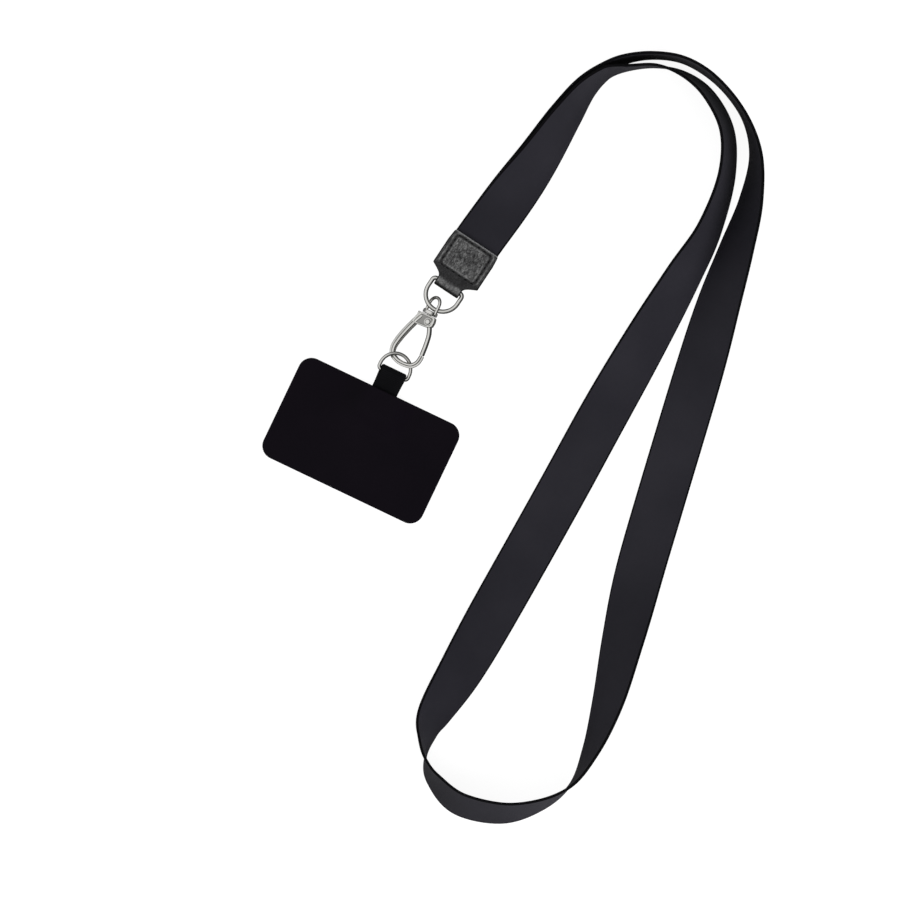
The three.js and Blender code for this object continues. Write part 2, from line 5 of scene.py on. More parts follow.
import bpy
import numpy as np
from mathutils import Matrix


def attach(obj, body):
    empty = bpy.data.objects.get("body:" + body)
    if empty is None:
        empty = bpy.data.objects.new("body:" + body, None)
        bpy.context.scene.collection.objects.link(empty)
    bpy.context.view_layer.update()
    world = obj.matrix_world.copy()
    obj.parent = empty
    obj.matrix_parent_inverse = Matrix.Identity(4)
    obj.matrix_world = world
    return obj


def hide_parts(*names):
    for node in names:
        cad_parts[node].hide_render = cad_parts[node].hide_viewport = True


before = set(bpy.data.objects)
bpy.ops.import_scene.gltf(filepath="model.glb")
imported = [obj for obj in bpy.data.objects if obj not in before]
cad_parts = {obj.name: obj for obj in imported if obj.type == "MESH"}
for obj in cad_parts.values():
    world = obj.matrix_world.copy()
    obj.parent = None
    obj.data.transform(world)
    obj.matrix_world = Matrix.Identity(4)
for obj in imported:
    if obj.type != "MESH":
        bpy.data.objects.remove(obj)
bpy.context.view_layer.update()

# The tab's mouth in the row frame, how far each part that hangs below it is turned, and the gaps
# between soft pieces and between metal ones
layout = {
    "mouth": (-11.957, 65.160, 0.0),
    "tabTurn": 33.5,
    "hookTurn": 26.0,
    "bailRoll": 45.0,
    "bailSeatTurn": 4.0,
    "hookRoll": 14.0,
    "tetherTurn": 25.5,
    "tetherRoll": 13.0,
    "softGap": 0.3,
    "metalGap": 0.2,
}


def smoothStep(value):
    # 3 s^2 - 2 s^3, with s the value held between 0 and 1
    share = np.clip(value, 0.0, 1.0)
    return share * share * (3 - 2 * share)


def shiftBy(x, y, z):
    # 4 by 4 matrix of a shift
    matrix = np.eye(4)
    matrix[:3, 3] = (x, y, z)
    return matrix


def turnAbout(axis, degrees):
    # 4 by 4 matrix of a turn about x, y or z (0, 1 or 2)
    one, two = (axis + 1) % 3, (axis + 2) % 3
    cosine, sine = math.cos(math.radians(degrees)), math.sin(math.radians(degrees))
    matrix = np.eye(4)
    matrix[one, one] = matrix[two, two] = cosine
    matrix[one, two] = -sine
    matrix[two, one] = sine
    return matrix


def placed(points, matrix):
    # Every point times the matrix
    return points @ matrix[:3, :3].T + matrix[:3, 3]


def unit(vectors):
    # Each row divided by its length
    return vectors / np.linalg.norm(vectors, axis=1)[:, None]


def neighbourStep(points):
    # From the point before to the point after, round a closed line
    return np.roll(points, -1, axis=0) - np.roll(points, 1, axis=0)


def runAlong(path):
    # Distance along the path from its first point
    return np.concatenate([[0], np.cumsum(np.linalg.norm(np.diff(path, axis=0), axis=1))])


def splineThrough(points, steps):
    # Centripetal spline: each span is the cubic through its two ends whose slopes come from the
    # neighbours, weighted by the square roots of the distances between the points
    around = np.vstack([2 * points[0] - points[1], points, 2 * points[-1] - points[-2]])
    gap = np.sqrt(np.linalg.norm(np.diff(around, axis=0), axis=1))[:, None]
    p0, p1, p2, p3 = around[:-3], around[1:-2], around[2:-1], around[3:]
    d0, d1, d2 = gap[:-2], gap[1:-1], gap[2:]
    leave = ((p1 - p0) / d0 - (p2 - p0) / (d0 + d1) + (p2 - p1) / d1) * d1
    reach = ((p2 - p1) / d1 - (p3 - p1) / (d1 + d2) + (p3 - p2) / d2) * d1
    t = (np.arange(steps) / steps)[None, :, None]
    p1, p2, leave, reach = (value[:, None, :] for value in (p1, p2, leave, reach))
    spans = (p1 + leave * t + (3 * (p2 - p1) - 2 * leave - reach) * t ** 2
             + (2 * (p1 - p2) + leave + reach) * t ** 3)
    return np.vstack([spans.reshape(-1, points.shape[1]), points[-1:]])


def closedGrid(points, ringRows=False, uv=None, marks=None):
    # Quads between neighbouring rows and columns. Columns close on themselves, and rows close too
    # where ringRows is set, or else the first and last rows are filled with one face each.
    # Marks are numbers for each point, which materials read by name.
    rows, columns = points.shape[:2]
    rowSteps = rows if ringRows else rows - 1
    row, column = np.meshgrid(np.arange(rowSteps), np.arange(columns), indexing="ij")
    here, there = row * columns, ((row + 1) % rows) * columns
    after = (column + 1) % columns
    quads = np.stack([here + column, there + column, there + after, here + after], axis=-1)
    quads = quads.reshape(-1, 4)
    if uv is None:
        along = np.linalg.norm(np.roll(points, -1, axis=0) - points, axis=2).mean(axis=1)
        around = np.linalg.norm(np.roll(points, -1, axis=1) - points, axis=2).mean(axis=0)
        along = np.concatenate([[0], np.cumsum(along)])
        around = np.concatenate([[0], np.cumsum(around)])
        uv = np.stack(np.meshgrid(along[:rows + 1], around, indexing="ij")[::-1], axis=-1)
    corners = np.stack([uv[row, column], uv[row + 1, column], uv[row + 1, column + 1],
                        uv[row, column + 1]], axis=2)
    corners = corners.reshape(-1, 2)
    flat = points.reshape(-1, 3)
    a, b, c, d = (flat[quads[:, k]] for k in range(4))
    volume = (a * (np.cross(b, c) + np.cross(c, d))).sum()
    faces = quads.tolist()
    if not ringRows:
        faces.append(list(range(columns)))
        faces.append(list(range((rows - 1) * columns, rows * columns))[::-1])
        corners = np.vstack([corners, uv[0, :columns], uv[rows - 1, :columns][::-1]])
        first, last = flat[:columns], flat[(rows - 1) * columns:]
        volume += (first[0] * np.cross(first[:-1], first[1:])).sum()
        volume -= (last[0] * np.cross(last[:-1], last[1:])).sum()
    marks = {name: values.ravel() for name, values in (marks or {}).items()}
    return {"points": flat, "faces": faces, "corners": corners, "inward": volume < 0, "marks": marks}


def makePiece(name, shells, place, material, sharpAngle=38.0):
    # Joins closed shells in one mesh in the row frame, in metres. A shell whose enclosed volume
    # comes out negative is turned the right way out.
    vertices, faces, corners = [], [], []
    for shell in shells:
        start = sum(len(part) for part in vertices)
        offset = 0
        for face in shell["faces"]:
            size = len(face)
            order = list(range(size))[::-1] if shell["inward"] else range(size)
            faces.append([face[k] + start for k in order])
            corners.extend(shell["corners"][offset + k] for k in order)
            offset += size
        vertices.append(shell["points"])
    mesh = bpy.data.meshes.new(name)
    mesh.from_pydata(placed(np.vstack(vertices), place) * 0.001, [], faces)
    layer = mesh.uv_layers.new(name="surface")
    layer.data.foreach_set("uv", np.array(corners, dtype=np.float32).ravel())
    for label in sorted({label for shell in shells for label in shell["marks"]}):
        mark = mesh.attributes.new(label, "FLOAT", "POINT")
        values = [shell["marks"].get(label, np.zeros(len(shell["points"]))) for shell in shells]
        mark.data.foreach_set("value", np.concatenate(values))
    mesh.shade_smooth()
    mesh.set_sharp_from_angle(angle=math.radians(sharpAngle))
    mesh.materials.append(material)
    piece = bpy.data.objects.new(name, mesh)
    bpy.context.scene.collection.objects.link(piece)
    print("made", name, "with", len(mesh.polygons), "faces")
    return piece


def ovalSection(sides):
    # Across and deep shares of a circle
    angle = (np.arange(sides) + 0.5) / sides * 2 * np.pi
    return np.column_stack([np.cos(angle), np.sin(angle)])


def carried(path, widths, depths, section, closed=False):
    # A closed section of shares, wide across the path and deep along z, carried along a path
    tangent = neighbourStep(path) if closed else np.gradient(path, axis=0)
    side = unit(np.cross(tangent, [0, 0, 1]))
    widths = np.broadcast_to(widths, len(path))[:, None, None] / 2
    depths = np.broadcast_to(depths, len(path))[:, None, None] / 2
    points = (path[:, None, :] + side[:, None, :] * section[None, :, :1] * widths
              + np.array([0, 0, 1]) * section[None, :, 1:] * depths)
    return closedGrid(points, ringRows=closed)


def softCorners(corners, reach, count=7):
    # Each corner becomes a curve: (1 - s)^2 of a point before it, 2 s (1 - s) of the corner and
    # s^2 of a point after it
    before, after = np.roll(corners, 1, axis=0), np.roll(corners, -1, axis=0)
    s = np.linspace(0, 1, count)[None, :, None]
    start = (corners + unit(before - corners) * reach)[:, None, :]
    stop = (corners + unit(after - corners) * reach)[:, None, :]
    soft = (1 - s) ** 2 * start + 2 * s * (1 - s) * corners[:, None, :] + s ** 2 * stop
    return soft.reshape(-1, corners.shape[1])


def roundEnds(path, reach, least=0.02):
    # Shares of the full section near both ends of a path, so that a carried profile ends in a dome:
    # the square root of 1 - (1 - distance / reach)^2, and of least where that is smaller
    run = runAlong(path)
    near = np.minimum(run, run[-1] - run)
    return np.sqrt(np.maximum(1 - (1 - np.clip(near / reach, 0, 1)) ** 2, least))


def arcPoints(x, y, radius, start, stop, count):
    # Points on a circle from one angle to another, in a level plane
    angle = np.radians(np.linspace(start, stop, count))
    return np.column_stack([x + radius * np.cos(angle), y + radius * np.sin(angle), 0 * angle])


def lathed(profile, sides, pierced=False, pole=0.01):
    # Radius and height pairs turned about the y axis. A pierced profile closes on itself, and the
    # ends of any other one keep a pole's tiny radius.
    angle = np.arange(sides) / sides * 2 * np.pi
    radius, height = np.array(profile).T[:, :, None]
    radius = np.maximum(radius, pole)
    points = np.stack([radius * np.cos(angle), height + 0 * angle, radius * np.sin(angle)], axis=-1)
    return closedGrid(points, ringRows=pierced)


def movedShell(shell, matrix):
    # The same shell with its points moved
    return dict(shell, points=placed(shell["points"], matrix))


def stripProfile(strip):
    # Two flat faces, waist times the thickness apart, and the round beads of the two edges:
    # offsets across and through
    half, bead = strip["width"] / 2, strip["bead"]
    across = np.linspace(strip["faceInset"] - half, half - strip["faceInset"], strip["faceSteps"])
    angle = np.radians(np.linspace(strip["beadTurn"], -strip["beadTurn"], strip["beadSteps"]))
    top = np.column_stack([across, 0 * across + strip["waist"] * strip["thickness"] / 2])
    right = np.column_stack([half - bead + bead * np.cos(angle), bead * np.sin(angle)])
    return np.vstack([top, right, -top, -right])


def stripMap(path, profile):
    # Texture places of a carried profile: each point's offset across, and the distance along
    run = runAlong(path)
    across = np.append(profile[:, 0], profile[0, 0])
    return np.stack(np.meshgrid(np.append(run, run[-1]), across, indexing="ij")[::-1], axis=-1)


# Shader groups; most of a noise's values lie in noiseSpan
noiseSpan = (0.3, 0.7)


def newGroup(name, inputs, outputs):
    # An empty group with the named sockets; an input's third value is the one that it starts with
    group = bpy.data.node_groups.new(name, "ShaderNodeTree")
    for label, kind, value in inputs:
        socket = group.interface.new_socket(name=label, in_out="INPUT", socket_type=kind)
        if value is not None:
            socket.default_value = value
    for label, kind in outputs:
        group.interface.new_socket(name=label, in_out="OUTPUT", socket_type=kind)
    return group, group.nodes.new("NodeGroupInput"), group.nodes.new("NodeGroupOutput")


def mathNode(tree, operation, *values):
    # A Math node; each value is a number or a socket
    node = tree.nodes.new("ShaderNodeMath")
    node.operation = operation
    for index, value in enumerate(values):
        if isinstance(value, (int, float)):
            node.inputs[index].default_value = value
        else:
            tree.links.new(value, node.inputs[index])
    return node.outputs[0]


def mapRange(tree, value, fromLow, fromHigh, toLow, toHigh):
    # Straight-line change from one range to another, held at its ends
    node = tree.nodes.new("ShaderNodeMapRange")
    for index, part in enumerate((value, fromLow, fromHigh, toLow, toHigh)):
        if isinstance(part, (int, float)):
            node.inputs[index].default_value = part
        else:
            tree.links.new(part, node.inputs[index])
    return node.outputs[0]


def threadWeave():
    # Height of a woven face: sine ridges along each weft thread, times a share of the product of
    # warp and weft sines, so 0 gives plain ribs and 1 a checked weave
    number = "NodeSocketFloat"
    group, given, put = newGroup("threadWeave",
                                 [("Vector", "NodeSocketVector", None), ("Rib", number, 0.35),
                                  ("Thread", number, 0.3), ("Check", number, 0.5)],
                                 [("Height", number)])
    split = group.nodes.new("ShaderNodeSeparateXYZ")
    group.links.new(given.outputs["Vector"], split.inputs[0])
    waves = []
    for coordinate, pitch in ((1, "Rib"), (0, "Thread")):
        phase = mathNode(group, "MULTIPLY", split.outputs[coordinate], 2 * math.pi)
        phase = mathNode(group, "DIVIDE", phase, given.outputs[pitch])
        waves.append(mathNode(group, "SINE", phase))
    checked = mathNode(group, "MULTIPLY", mathNode(group, "MULTIPLY", *waves), given.outputs["Check"])
    plainShare = mathNode(group, "SUBTRACT", 1.0, given.outputs["Check"])
    height = mathNode(group, "ADD", checked, mathNode(group, "MULTIPLY", waves[0], plainShare))
    group.links.new(mapRange(group, height, -1.0, 1.0, 0.0, 1.0), put.inputs["Height"])
    return group


def toneDrift():
    # A slow noise held between two tones, plus a fine noise of small size
    number, colour = "NodeSocketFloat", "NodeSocketColor"
    group, given, put = newGroup("toneDrift",
                                 [("Vector", "NodeSocketVector", None), ("Scale", number, 40.0),
                                  ("Fine Scale", number, 900.0), ("Fine Share", number, 0.3),
                                  ("Dark", colour, (0.02, 0.02, 0.02, 1)),
                                  ("Light", colour, (0.04, 0.04, 0.04, 1))],
                                 [("Color", colour), ("Value", number)])
    values = []
    for scaleName in ("Scale", "Fine Scale"):
        noise = group.nodes.new("ShaderNodeTexNoise")
        noise.inputs["Detail"].default_value = 4.0
        group.links.new(given.outputs["Vector"], noise.inputs["Vector"])
        group.links.new(given.outputs[scaleName], noise.inputs["Scale"])
        values.append(noise.outputs[0])
    slow = mapRange(group, values[0], *noiseSpan, 0.0, 1.0)
    blend = group.nodes.new("ShaderNodeMix")
    group.links.new(given.outputs["Fine Share"], blend.inputs[0])
    group.links.new(slow, blend.inputs[2])
    group.links.new(values[1], blend.inputs[3])
    tones = group.nodes.new("ShaderNodeMix")
    tones.data_type = "RGBA"
    group.links.new(blend.outputs[0], tones.inputs[0])
    group.links.new(given.outputs["Dark"], tones.inputs[6])
    group.links.new(given.outputs["Light"], tones.inputs[7])
    group.links.new(tones.outputs[2], put.inputs["Color"])
    group.links.new(blend.outputs[0], put.inputs["Value"])
    return group


def bandMask():
    # 1 where the distance of the coordinate's x from 0 is past an edge, 0 before it
    number = "NodeSocketFloat"
    group, given, put = newGroup("bandMask",
                                 [("Vector", "NodeSocketVector", None), ("Edge", number, 8.0),
                                  ("Softness", number, 0.15)],
                                 [("Mask", number)])
    split = group.nodes.new("ShaderNodeSeparateXYZ")
    group.links.new(given.outputs["Vector"], split.inputs[0])
    far = mathNode(group, "ABSOLUTE", split.outputs[0])
    end = mathNode(group, "ADD", given.outputs["Edge"], given.outputs["Softness"])
    group.links.new(mapRange(group, far, given.outputs["Edge"], end, 0.0, 1.0), put.inputs["Mask"])
    return group


def pebbleGrain():
    # Leather grain: a bent noise for the swelling tops, and creases where irregular cells meet
    number = "NodeSocketFloat"
    creaseWidth = 0.16
    group, given, put = newGroup("pebbleGrain",
                                 [("Vector", "NodeSocketVector", None), ("Bend", number, 1.2)],
                                 [("Height", number), ("Creases", number)])
    swell = group.nodes.new("ShaderNodeTexNoise")
    swell.inputs["Detail"].default_value = 2.5
    swell.inputs["Roughness"].default_value = 0.6
    group.links.new(given.outputs["Bend"], swell.inputs["Distortion"])
    edges = group.nodes.new("ShaderNodeTexVoronoi")
    edges.feature = "DISTANCE_TO_EDGE"
    for node in (swell, edges):
        node.inputs["Scale"].default_value = 1.0
        group.links.new(given.outputs["Vector"], node.inputs["Vector"])
    tops = mapRange(group, swell.outputs[0], *noiseSpan, 0.0, 1.0)
    creases = mapRange(group, edges.outputs["Distance"], 0.0, creaseWidth, 1.0, 0.0)
    group.links.new(tops, put.inputs["Height"])
    group.links.new(creases, put.inputs["Creases"])
    return group


groups = {build.__name__: build() for build in (threadWeave, toneDrift, bandMask, pebbleGrain)}
print("shader groups:", ", ".join(groups))


def useGroup(tree, name, vector, **values):
    # Places a group in a material; names with an underscore stand for sockets with a space
    node = tree.nodes.new("ShaderNodeGroup")
    node.node_tree = groups[name]
    tree.links.new(vector, node.inputs["Vector"])
    for label, value in values.items():
        node.inputs[label.replace("_", " ")].default_value = value
    return node.outputs


def newMaterial(name, **values):
    # A Principled material with plain numbers on the shader's own sockets
    material = bpy.data.materials.new(name)
    material.use_nodes = True
    tree = material.node_tree
    shader = tree.nodes["Principled BSDF"]
    for label, value in values.items():
        shader.inputs[label.replace("_", " ")].default_value = value
    place = tree.nodes.new("ShaderNodeTexCoord")
    return material, tree, shader, place.outputs


def addBump(tree, shader, height, strength, distance):
    # Bump from a height, on the shader's normal
    bump = tree.nodes.new("ShaderNodeBump")
    bump.inputs["Strength"].default_value = strength
    bump.inputs["Distance"].default_value = distance
    tree.links.new(height, bump.inputs["Height"])
    tree.links.new(bump.outputs[0], shader.inputs["Normal"])


def darkened(tree, colour, mask, share):
    # The colour times 1 - share where the mask is 1
    node = tree.nodes.new("ShaderNodeMix")
    node.data_type = "RGBA"
    node.blend_type = "MULTIPLY"
    tree.links.new(mask, node.inputs[0])
    tree.links.new(colour, node.inputs[6])
    node.inputs[7].default_value = (1 - share, 1 - share, 1 - share, 1)
    return node.outputs[2]


# What all cloths share, and each one's own tones, threads in mm and painted shade along both edges: a
# dark band that starts at edge, which 1000 puts out of reach
allCloth = {"sheenRough": 0.4, "fineShare": 0.25, "valleyEnd": 0.6, "valleyRough": 0.08,
            "edgeSoft": 0.12, "bumpDepth": 0.0001}
clothLooks = {
    "ribbonCloth": {"dark": (0.0155, 0.015, 0.0195, 1), "light": (0.0245, 0.0235, 0.0295, 1),
                    "driftScale": 30.0, "rib": 0.36, "thread": 0.36, "check": 0.6, "valleyShade": 0.35,
                    "rough": 0.5, "bump": 0.25, "edge": 7.62, "edgeShare": 0.88, "sheen": 0.03,
                    "specular": 0.05},
    "webbingCloth": {"dark": (0.003, 0.003, 0.0036, 1), "light": (0.0058, 0.0058, 0.007, 1),
                     "driftScale": 60.0, "rib": 0.55, "thread": 0.5, "check": 0.25, "valleyShade": 0.5,
                     "rough": 0.75, "bump": 0.6, "edge": 4.2, "edgeShare": 0.4, "sheen": 0.03,
                     "specular": 0.06},
    "patchCloth": {"dark": (0.0035, 0.0025, 0.0045, 1), "light": (0.005, 0.0035, 0.006, 1),
                   "driftScale": 45.0, "rib": 0.3, "thread": 0.3, "check": 1.0, "valleyShade": 0.2,
                   "rough": 0.6, "bump": 0.12, "edge": 1000.0, "edgeShare": 0.5, "sheen": 0.02,
                   "specular": 0.05},
}


def clothMaterial(name, look):
    # Woven cloth: drifting tone, ribs as bump and roughness, painted shade in the valleys and along
    # both edges
    material, tree, shader, place = newMaterial(name, Sheen_Weight=look["sheen"],
                                                Sheen_Roughness=allCloth["sheenRough"],
                                                Specular_IOR_Level=look["specular"])
    tone = useGroup(tree, "toneDrift", place["Object"], Scale=look["driftScale"],
                    Fine_Share=allCloth["fineShare"], Dark=look["dark"], Light=look["light"])
    weave = useGroup(tree, "threadWeave", place["UV"], Rib=look["rib"], Thread=look["thread"],
                     Check=look["check"])["Height"]
    # Painted shade along both edges
    edgeShade = useGroup(tree, "bandMask", place["UV"], Edge=look["edge"],
                        Softness=allCloth["edgeSoft"])
    # Painted shade in the valleys between threads
    valleyShade = mapRange(tree, weave, 0.0, allCloth["valleyEnd"], look["valleyShade"], 0.0)
    colour = darkened(tree, darkened(tree, tone["Color"], valleyShade, 1.0), edgeShade["Mask"],
                      look["edgeShare"])
    tree.links.new(colour, shader.inputs["Base Color"])
    rough = mapRange(tree, weave, 0.0, 1.0, look["rough"] + allCloth["valleyRough"], look["rough"])
    tree.links.new(rough, shader.inputs["Roughness"])
    addBump(tree, shader, weave, look["bump"], allCloth["bumpDepth"])
    return material


cloths = {name: clothMaterial(name, look) for name, look in clothLooks.items()}
threadLook = dict(clothLooks["webbingCloth"], rib=0.2, thread=0.2, edge=1000.0)
thread = clothMaterial("stitchThread", threadLook)

# Leather tones, and in mm where each one lies on the tab: pairs are the start and the end of a
# change, lines are dark, the fold line with painted shade, ridges are pale with painted highlight, the
# pits' colour is painted shade and the cut edge's colour a painted highlight
leatherLook = {
    "specular": 0.3,
    "plain": {"Scale": 260.0, "Fine_Scale": 1800.0, "Fine_Share": 0.55,
              "Dark": (0.012, 0.012, 0.0125, 1), "Light": (0.036, 0.036, 0.037, 1)},
    "grainHighlight": {"Scale": 330.0, "Fine_Scale": 900.0, "Fine_Share": 0.3,
               "Dark": (0.06, 0.06, 0.061, 1), "Light": (0.24, 0.24, 0.24, 1)},
    "pitShade": (0.011, 0.011, 0.0115, 1),
    "cutEdgeHighlight": (0.22, 0.22, 0.225, 1),
    "cutRun": (0.3, 0.5),
    "grainStretch": (1300.0, 750.0, 1000.0),
    "bend": 0.8,
    "creaseShare": 0.55,
    "padEdge": (-0.3, -0.8),
    "bandMiddle": 2.7,
    "bandSoft": (0.3, 1.6),
    "bandShare": 0.9,
    "borderRun": (12.0, 13.0),
    "borderShare": 0.35,
    "ridgeEnd": (11.4, 12.2),
    "outerRidge": (0.85, 0.36),
    "innerRidge": (-0.8, 0.36),
    "foldRidge": 1.1,
    "ridgeShare": 0.9,
    "ridgeFade": 0.8,
    "ridgeCore": 0.4,
    "grooveHalf": 0.38,
    "grooveShare": 0.6,
    "sideLine": (0.27, 0.45),
    "foldLine": (1.2, 1.8),
    "lineShare": 0.94,
    "rough": (0.65, 0.42),
    "bump": 0.9,
    "bumpDepth": 0.0003,
}


def readMark(tree, name):
    # A number that makePiece stored for each point
    node = tree.nodes.new("ShaderNodeAttribute")
    node.attribute_name = name
    return node.outputs["Fac"]


def blended(tree, mask, first, second):
    # The first colour where the mask is 0 and the second where it is 1; each a socket or a colour
    node = tree.nodes.new("ShaderNodeMix")
    node.data_type = "RGBA"
    tree.links.new(mask, node.inputs[0])
    for index, value in ((6, first), (7, second)):
        if isinstance(value, tuple):
            node.inputs[index].default_value = value
        else:
            tree.links.new(value, node.inputs[index])
    return node.outputs[2]


def awayFrom(tree, mark, centre):
    # How far a mark is from a value, either way
    return mathNode(tree, "ABSOLUTE", mathNode(tree, "SUBTRACT", mark, centre))


def leatherMaterial():
    # Pebbled leather: painted shade in the grain's pits, creases and the groove under the stitches,
    # painted highlight on the grain tops of the pad inside them, dark side edges, a painted highlight
    # on the cut edge at the mouth, and at the fold a painted highlight band before a line of painted
    # shade
    look = leatherLook
    material, tree, shader, place = newMaterial("tabLeather", Specular_IOR_Level=look["specular"])
    upright = tree.nodes.new("ShaderNodeMapping")
    upright.inputs["Rotation"].default_value = (0, 0, math.radians(layout["tabTurn"]))
    tree.links.new(place["Object"], upright.inputs["Vector"])
    stretched = tree.nodes.new("ShaderNodeMapping")
    stretched.inputs["Scale"].default_value = look["grainStretch"]
    tree.links.new(upright.outputs[0], stretched.inputs["Vector"])
    grain = useGroup(tree, "pebbleGrain", stretched.outputs[0], Bend=look["bend"])
    plain = useGroup(tree, "toneDrift", place["Object"], **look["plain"])
    grainHighlight = useGroup(tree, "toneDrift", place["Object"], **look["grainHighlight"])
    # Painted shade in the grain's pits and painted highlight on its tops
    tops = blended(tree, grain["Height"], look["pitShade"], grainHighlight["Color"])
    distance = readMark(tree, "stitchDistance")
    fromFold, fromMouth = readMark(tree, "fromFold"), readMark(tree, "fromMouth")
    # Painted highlight on the pad inside the stitches, on a band near the fold and on the body's border
    pad = mapRange(tree, distance, *look["padEdge"], 0.0, 1.0)
    fromBand = awayFrom(tree, fromFold, look["bandMiddle"])
    band = mapRange(tree, fromBand, *look["bandSoft"], look["bandShare"], 0.0)
    border = mapRange(tree, fromMouth, *look["borderRun"], look["borderShare"], 0.0)
    highlightShare = mathNode(tree, "MAXIMUM", mathNode(tree, "MAXIMUM", pad, band), border)
    colour = blended(tree, highlightShare, plain["Color"], tops)
    onBorder = mapRange(tree, fromMouth, *look["ridgeEnd"], 1.0, 0.0)
    ridges = [(distance, *look["outerRidge"], onBorder),
              (distance, *look["innerRidge"], look["ridgeFade"]),
              (fromFold, look["bandMiddle"], look["foldRidge"], look["ridgeFade"])]
    # Pale ridges along the stitches and the fold: painted highlight
    for mark, centre, half, share in ridges:
        away = awayFrom(tree, mark, centre)
        ridge = mapRange(tree, away, half * look["ridgeCore"], half, look["ridgeShare"], 0.0)
        uneven = mathNode(tree, "MULTIPLY", mathNode(tree, "MULTIPLY", ridge, share), grainHighlight["Value"])
        colour = blended(tree, uneven, colour, look["grainHighlight"]["Light"])
    # Painted shade in the groove under the stitches
    groove = mapRange(tree, awayFrom(tree, distance, 0.0), look["grooveHalf"] / 2,
                      look["grooveHalf"], 1.0, 0.0)
    sideLine = mapRange(tree, readMark(tree, "fromSide"), *look["sideLine"], 1.0, 0.0)
    # Painted shade along the fold's rim
    foldLine = mapRange(tree, fromFold, *look["foldLine"], 1.0, 0.0)
    # Each mask darkens the colour: the creases with painted shade, then the groove, the side lines and
    # the fold line
    for mask, share in [(grain["Creases"], look["creaseShare"]), (groove, look["grooveShare"]),
                        (sideLine, look["lineShare"]), (foldLine, look["lineShare"])]:
        colour = darkened(tree, colour, mask, share)
    # Painted highlight along the cut edge at the mouth
    mouth = mapRange(tree, fromMouth, *look["cutRun"], 1.0, 0.0)
    tree.links.new(blended(tree, mouth, colour, look["cutEdgeHighlight"]), shader.inputs["Base Color"])
    rough = mapRange(tree, grain["Height"], 0.0, 1.0, *look["rough"])
    tree.links.new(rough, shader.inputs["Roughness"])
    addBump(tree, shader, grain["Height"], look["bump"], look["bumpDepth"])
    return material


nickelLook = {
    "tone": {"Scale": 160.0, "Fine_Scale": 3000.0, "Fine_Share": 0.4,
             "Dark": (0.6, 0.595, 0.57, 1), "Light": (0.72, 0.715, 0.69, 1)},
    "toneSpan": (0.2, 0.8),
    "rough": (0.09, 0.2),
    "sunkShade": 0.55,
    "sunkRough": 0.2,
}


def nickelMaterial():
    # Bright plating: faint polish marks in roughness and tone, and where a panel is sunk rougher and
    # darkened with painted shade
    look = nickelLook
    material, tree, shader, place = newMaterial("brightNickel", Metallic=1.0)
    tone = useGroup(tree, "toneDrift", place["Object"], **look["tone"])
    recess = readMark(tree, "recess")
    # Painted shade in the sunk panels
    shadedTone = darkened(tree, tone["Color"], recess, look["sunkShade"])
    tree.links.new(shadedTone, shader.inputs["Base Color"])
    polished = mapRange(tree, tone["Value"], *look["toneSpan"], *look["rough"])
    extra = mathNode(tree, "MULTIPLY", recess, look["sunkRough"])
    tree.links.new(mathNode(tree, "ADD", polished, extra), shader.inputs["Roughness"])
    return material


leather = leatherMaterial()
nickel = nickelMaterial()
print("materials ready")

# Ribbon: width, thickness, the loop's spans and how far its ends are tucked into the tab
ribbon = {
    "width": 16.5,
    "thickness": 1.0,
    "spanX": 116.6,
    "spanY": 257.0,
    "tuck": 12.3,
    "liftRun": 34.0,
    "sharedRows": 5,
    "rowsPastShared": 3,
    "steps": 16,
    "bead": 0.5,
    "beadTurn": 110,
    "beadSteps": 9,
    "faceInset": 1.0,
    "faceSteps": 17,
    "waist": 0.9,
}
# Across and along as shares of the spans, and roll, 0 flat and 90 on edge
routeRows = np.array([
    (0.075, 0.0475, 10),
    (0.168, 0.108, 35),
    (0.249, 0.166, 54),
    (0.307, 0.203, 68),
    (0.360, 0.2235, 77),
    (0.413, 0.236, 82),
    (0.493, 0.242, 85),
    (0.580, 0.2375, 86),
    (0.650, 0.2215, 86),
    (0.714, 0.195, 87),
    (0.766, 0.160, 86),
    (0.794, 0.116, 79),
    (0.781, 0.0545, 64),
    (0.740, -0.008, 48),
    (0.691, -0.077, 31),
    (0.636, -0.163, 12),
    (0.583, -0.244, 3),
    (0.523, -0.335, 3),
    (0.465, -0.425, 12),
    (0.415, -0.516, 34),
    (0.373, -0.594, 53),
    (0.323, -0.658, 73),
    (0.266, -0.7025, 90),
    (0.179, -0.7275, 104),
    (0.065, -0.738, 116),
    (-0.051, -0.726, 118),
    (-0.123, -0.695, 107),
    (-0.147, -0.668, 91),
    (-0.144, -0.639, 70),
    (-0.124, -0.611, 48),
    (-0.0455, -0.553, 25),
    (0.052, -0.475, 7),
    (0.159, -0.389, 2),
    (0.256, -0.310, 2),
    (0.357, -0.226, 7),
    (0.471, -0.135, 23),
    (0.586, -0.0445, 43),
    (0.664, 0.0195, 60),
    (0.7135, 0.093, 70),
    (0.711, 0.147, 73),
    (0.660, 0.1915, 76),
    (0.594, 0.2165, 82),
    (0.510, 0.2285, 90),
    (0.436, 0.2265, 93),
])
mouthDirection = np.array([math.sin(math.radians(layout["tabTurn"])),
                           math.cos(math.radians(layout["tabTurn"]))])
layerStep = ribbon["thickness"] + layout["softGap"]


def routeSamples(rows, tail):
    # The spline through the tucked end, the rows and the tail: x, y and roll
    back = np.array([ribbon["tuck"], ribbon["tuck"] / 2, 0])
    tucked = np.column_stack([-back[:, None] * mouthDirection, 0 * back])
    placedRows = rows * [ribbon["spanX"], ribbon["spanY"], 1]
    return splineThrough(np.vstack([tucked, placedRows, tail]), ribbon["steps"])


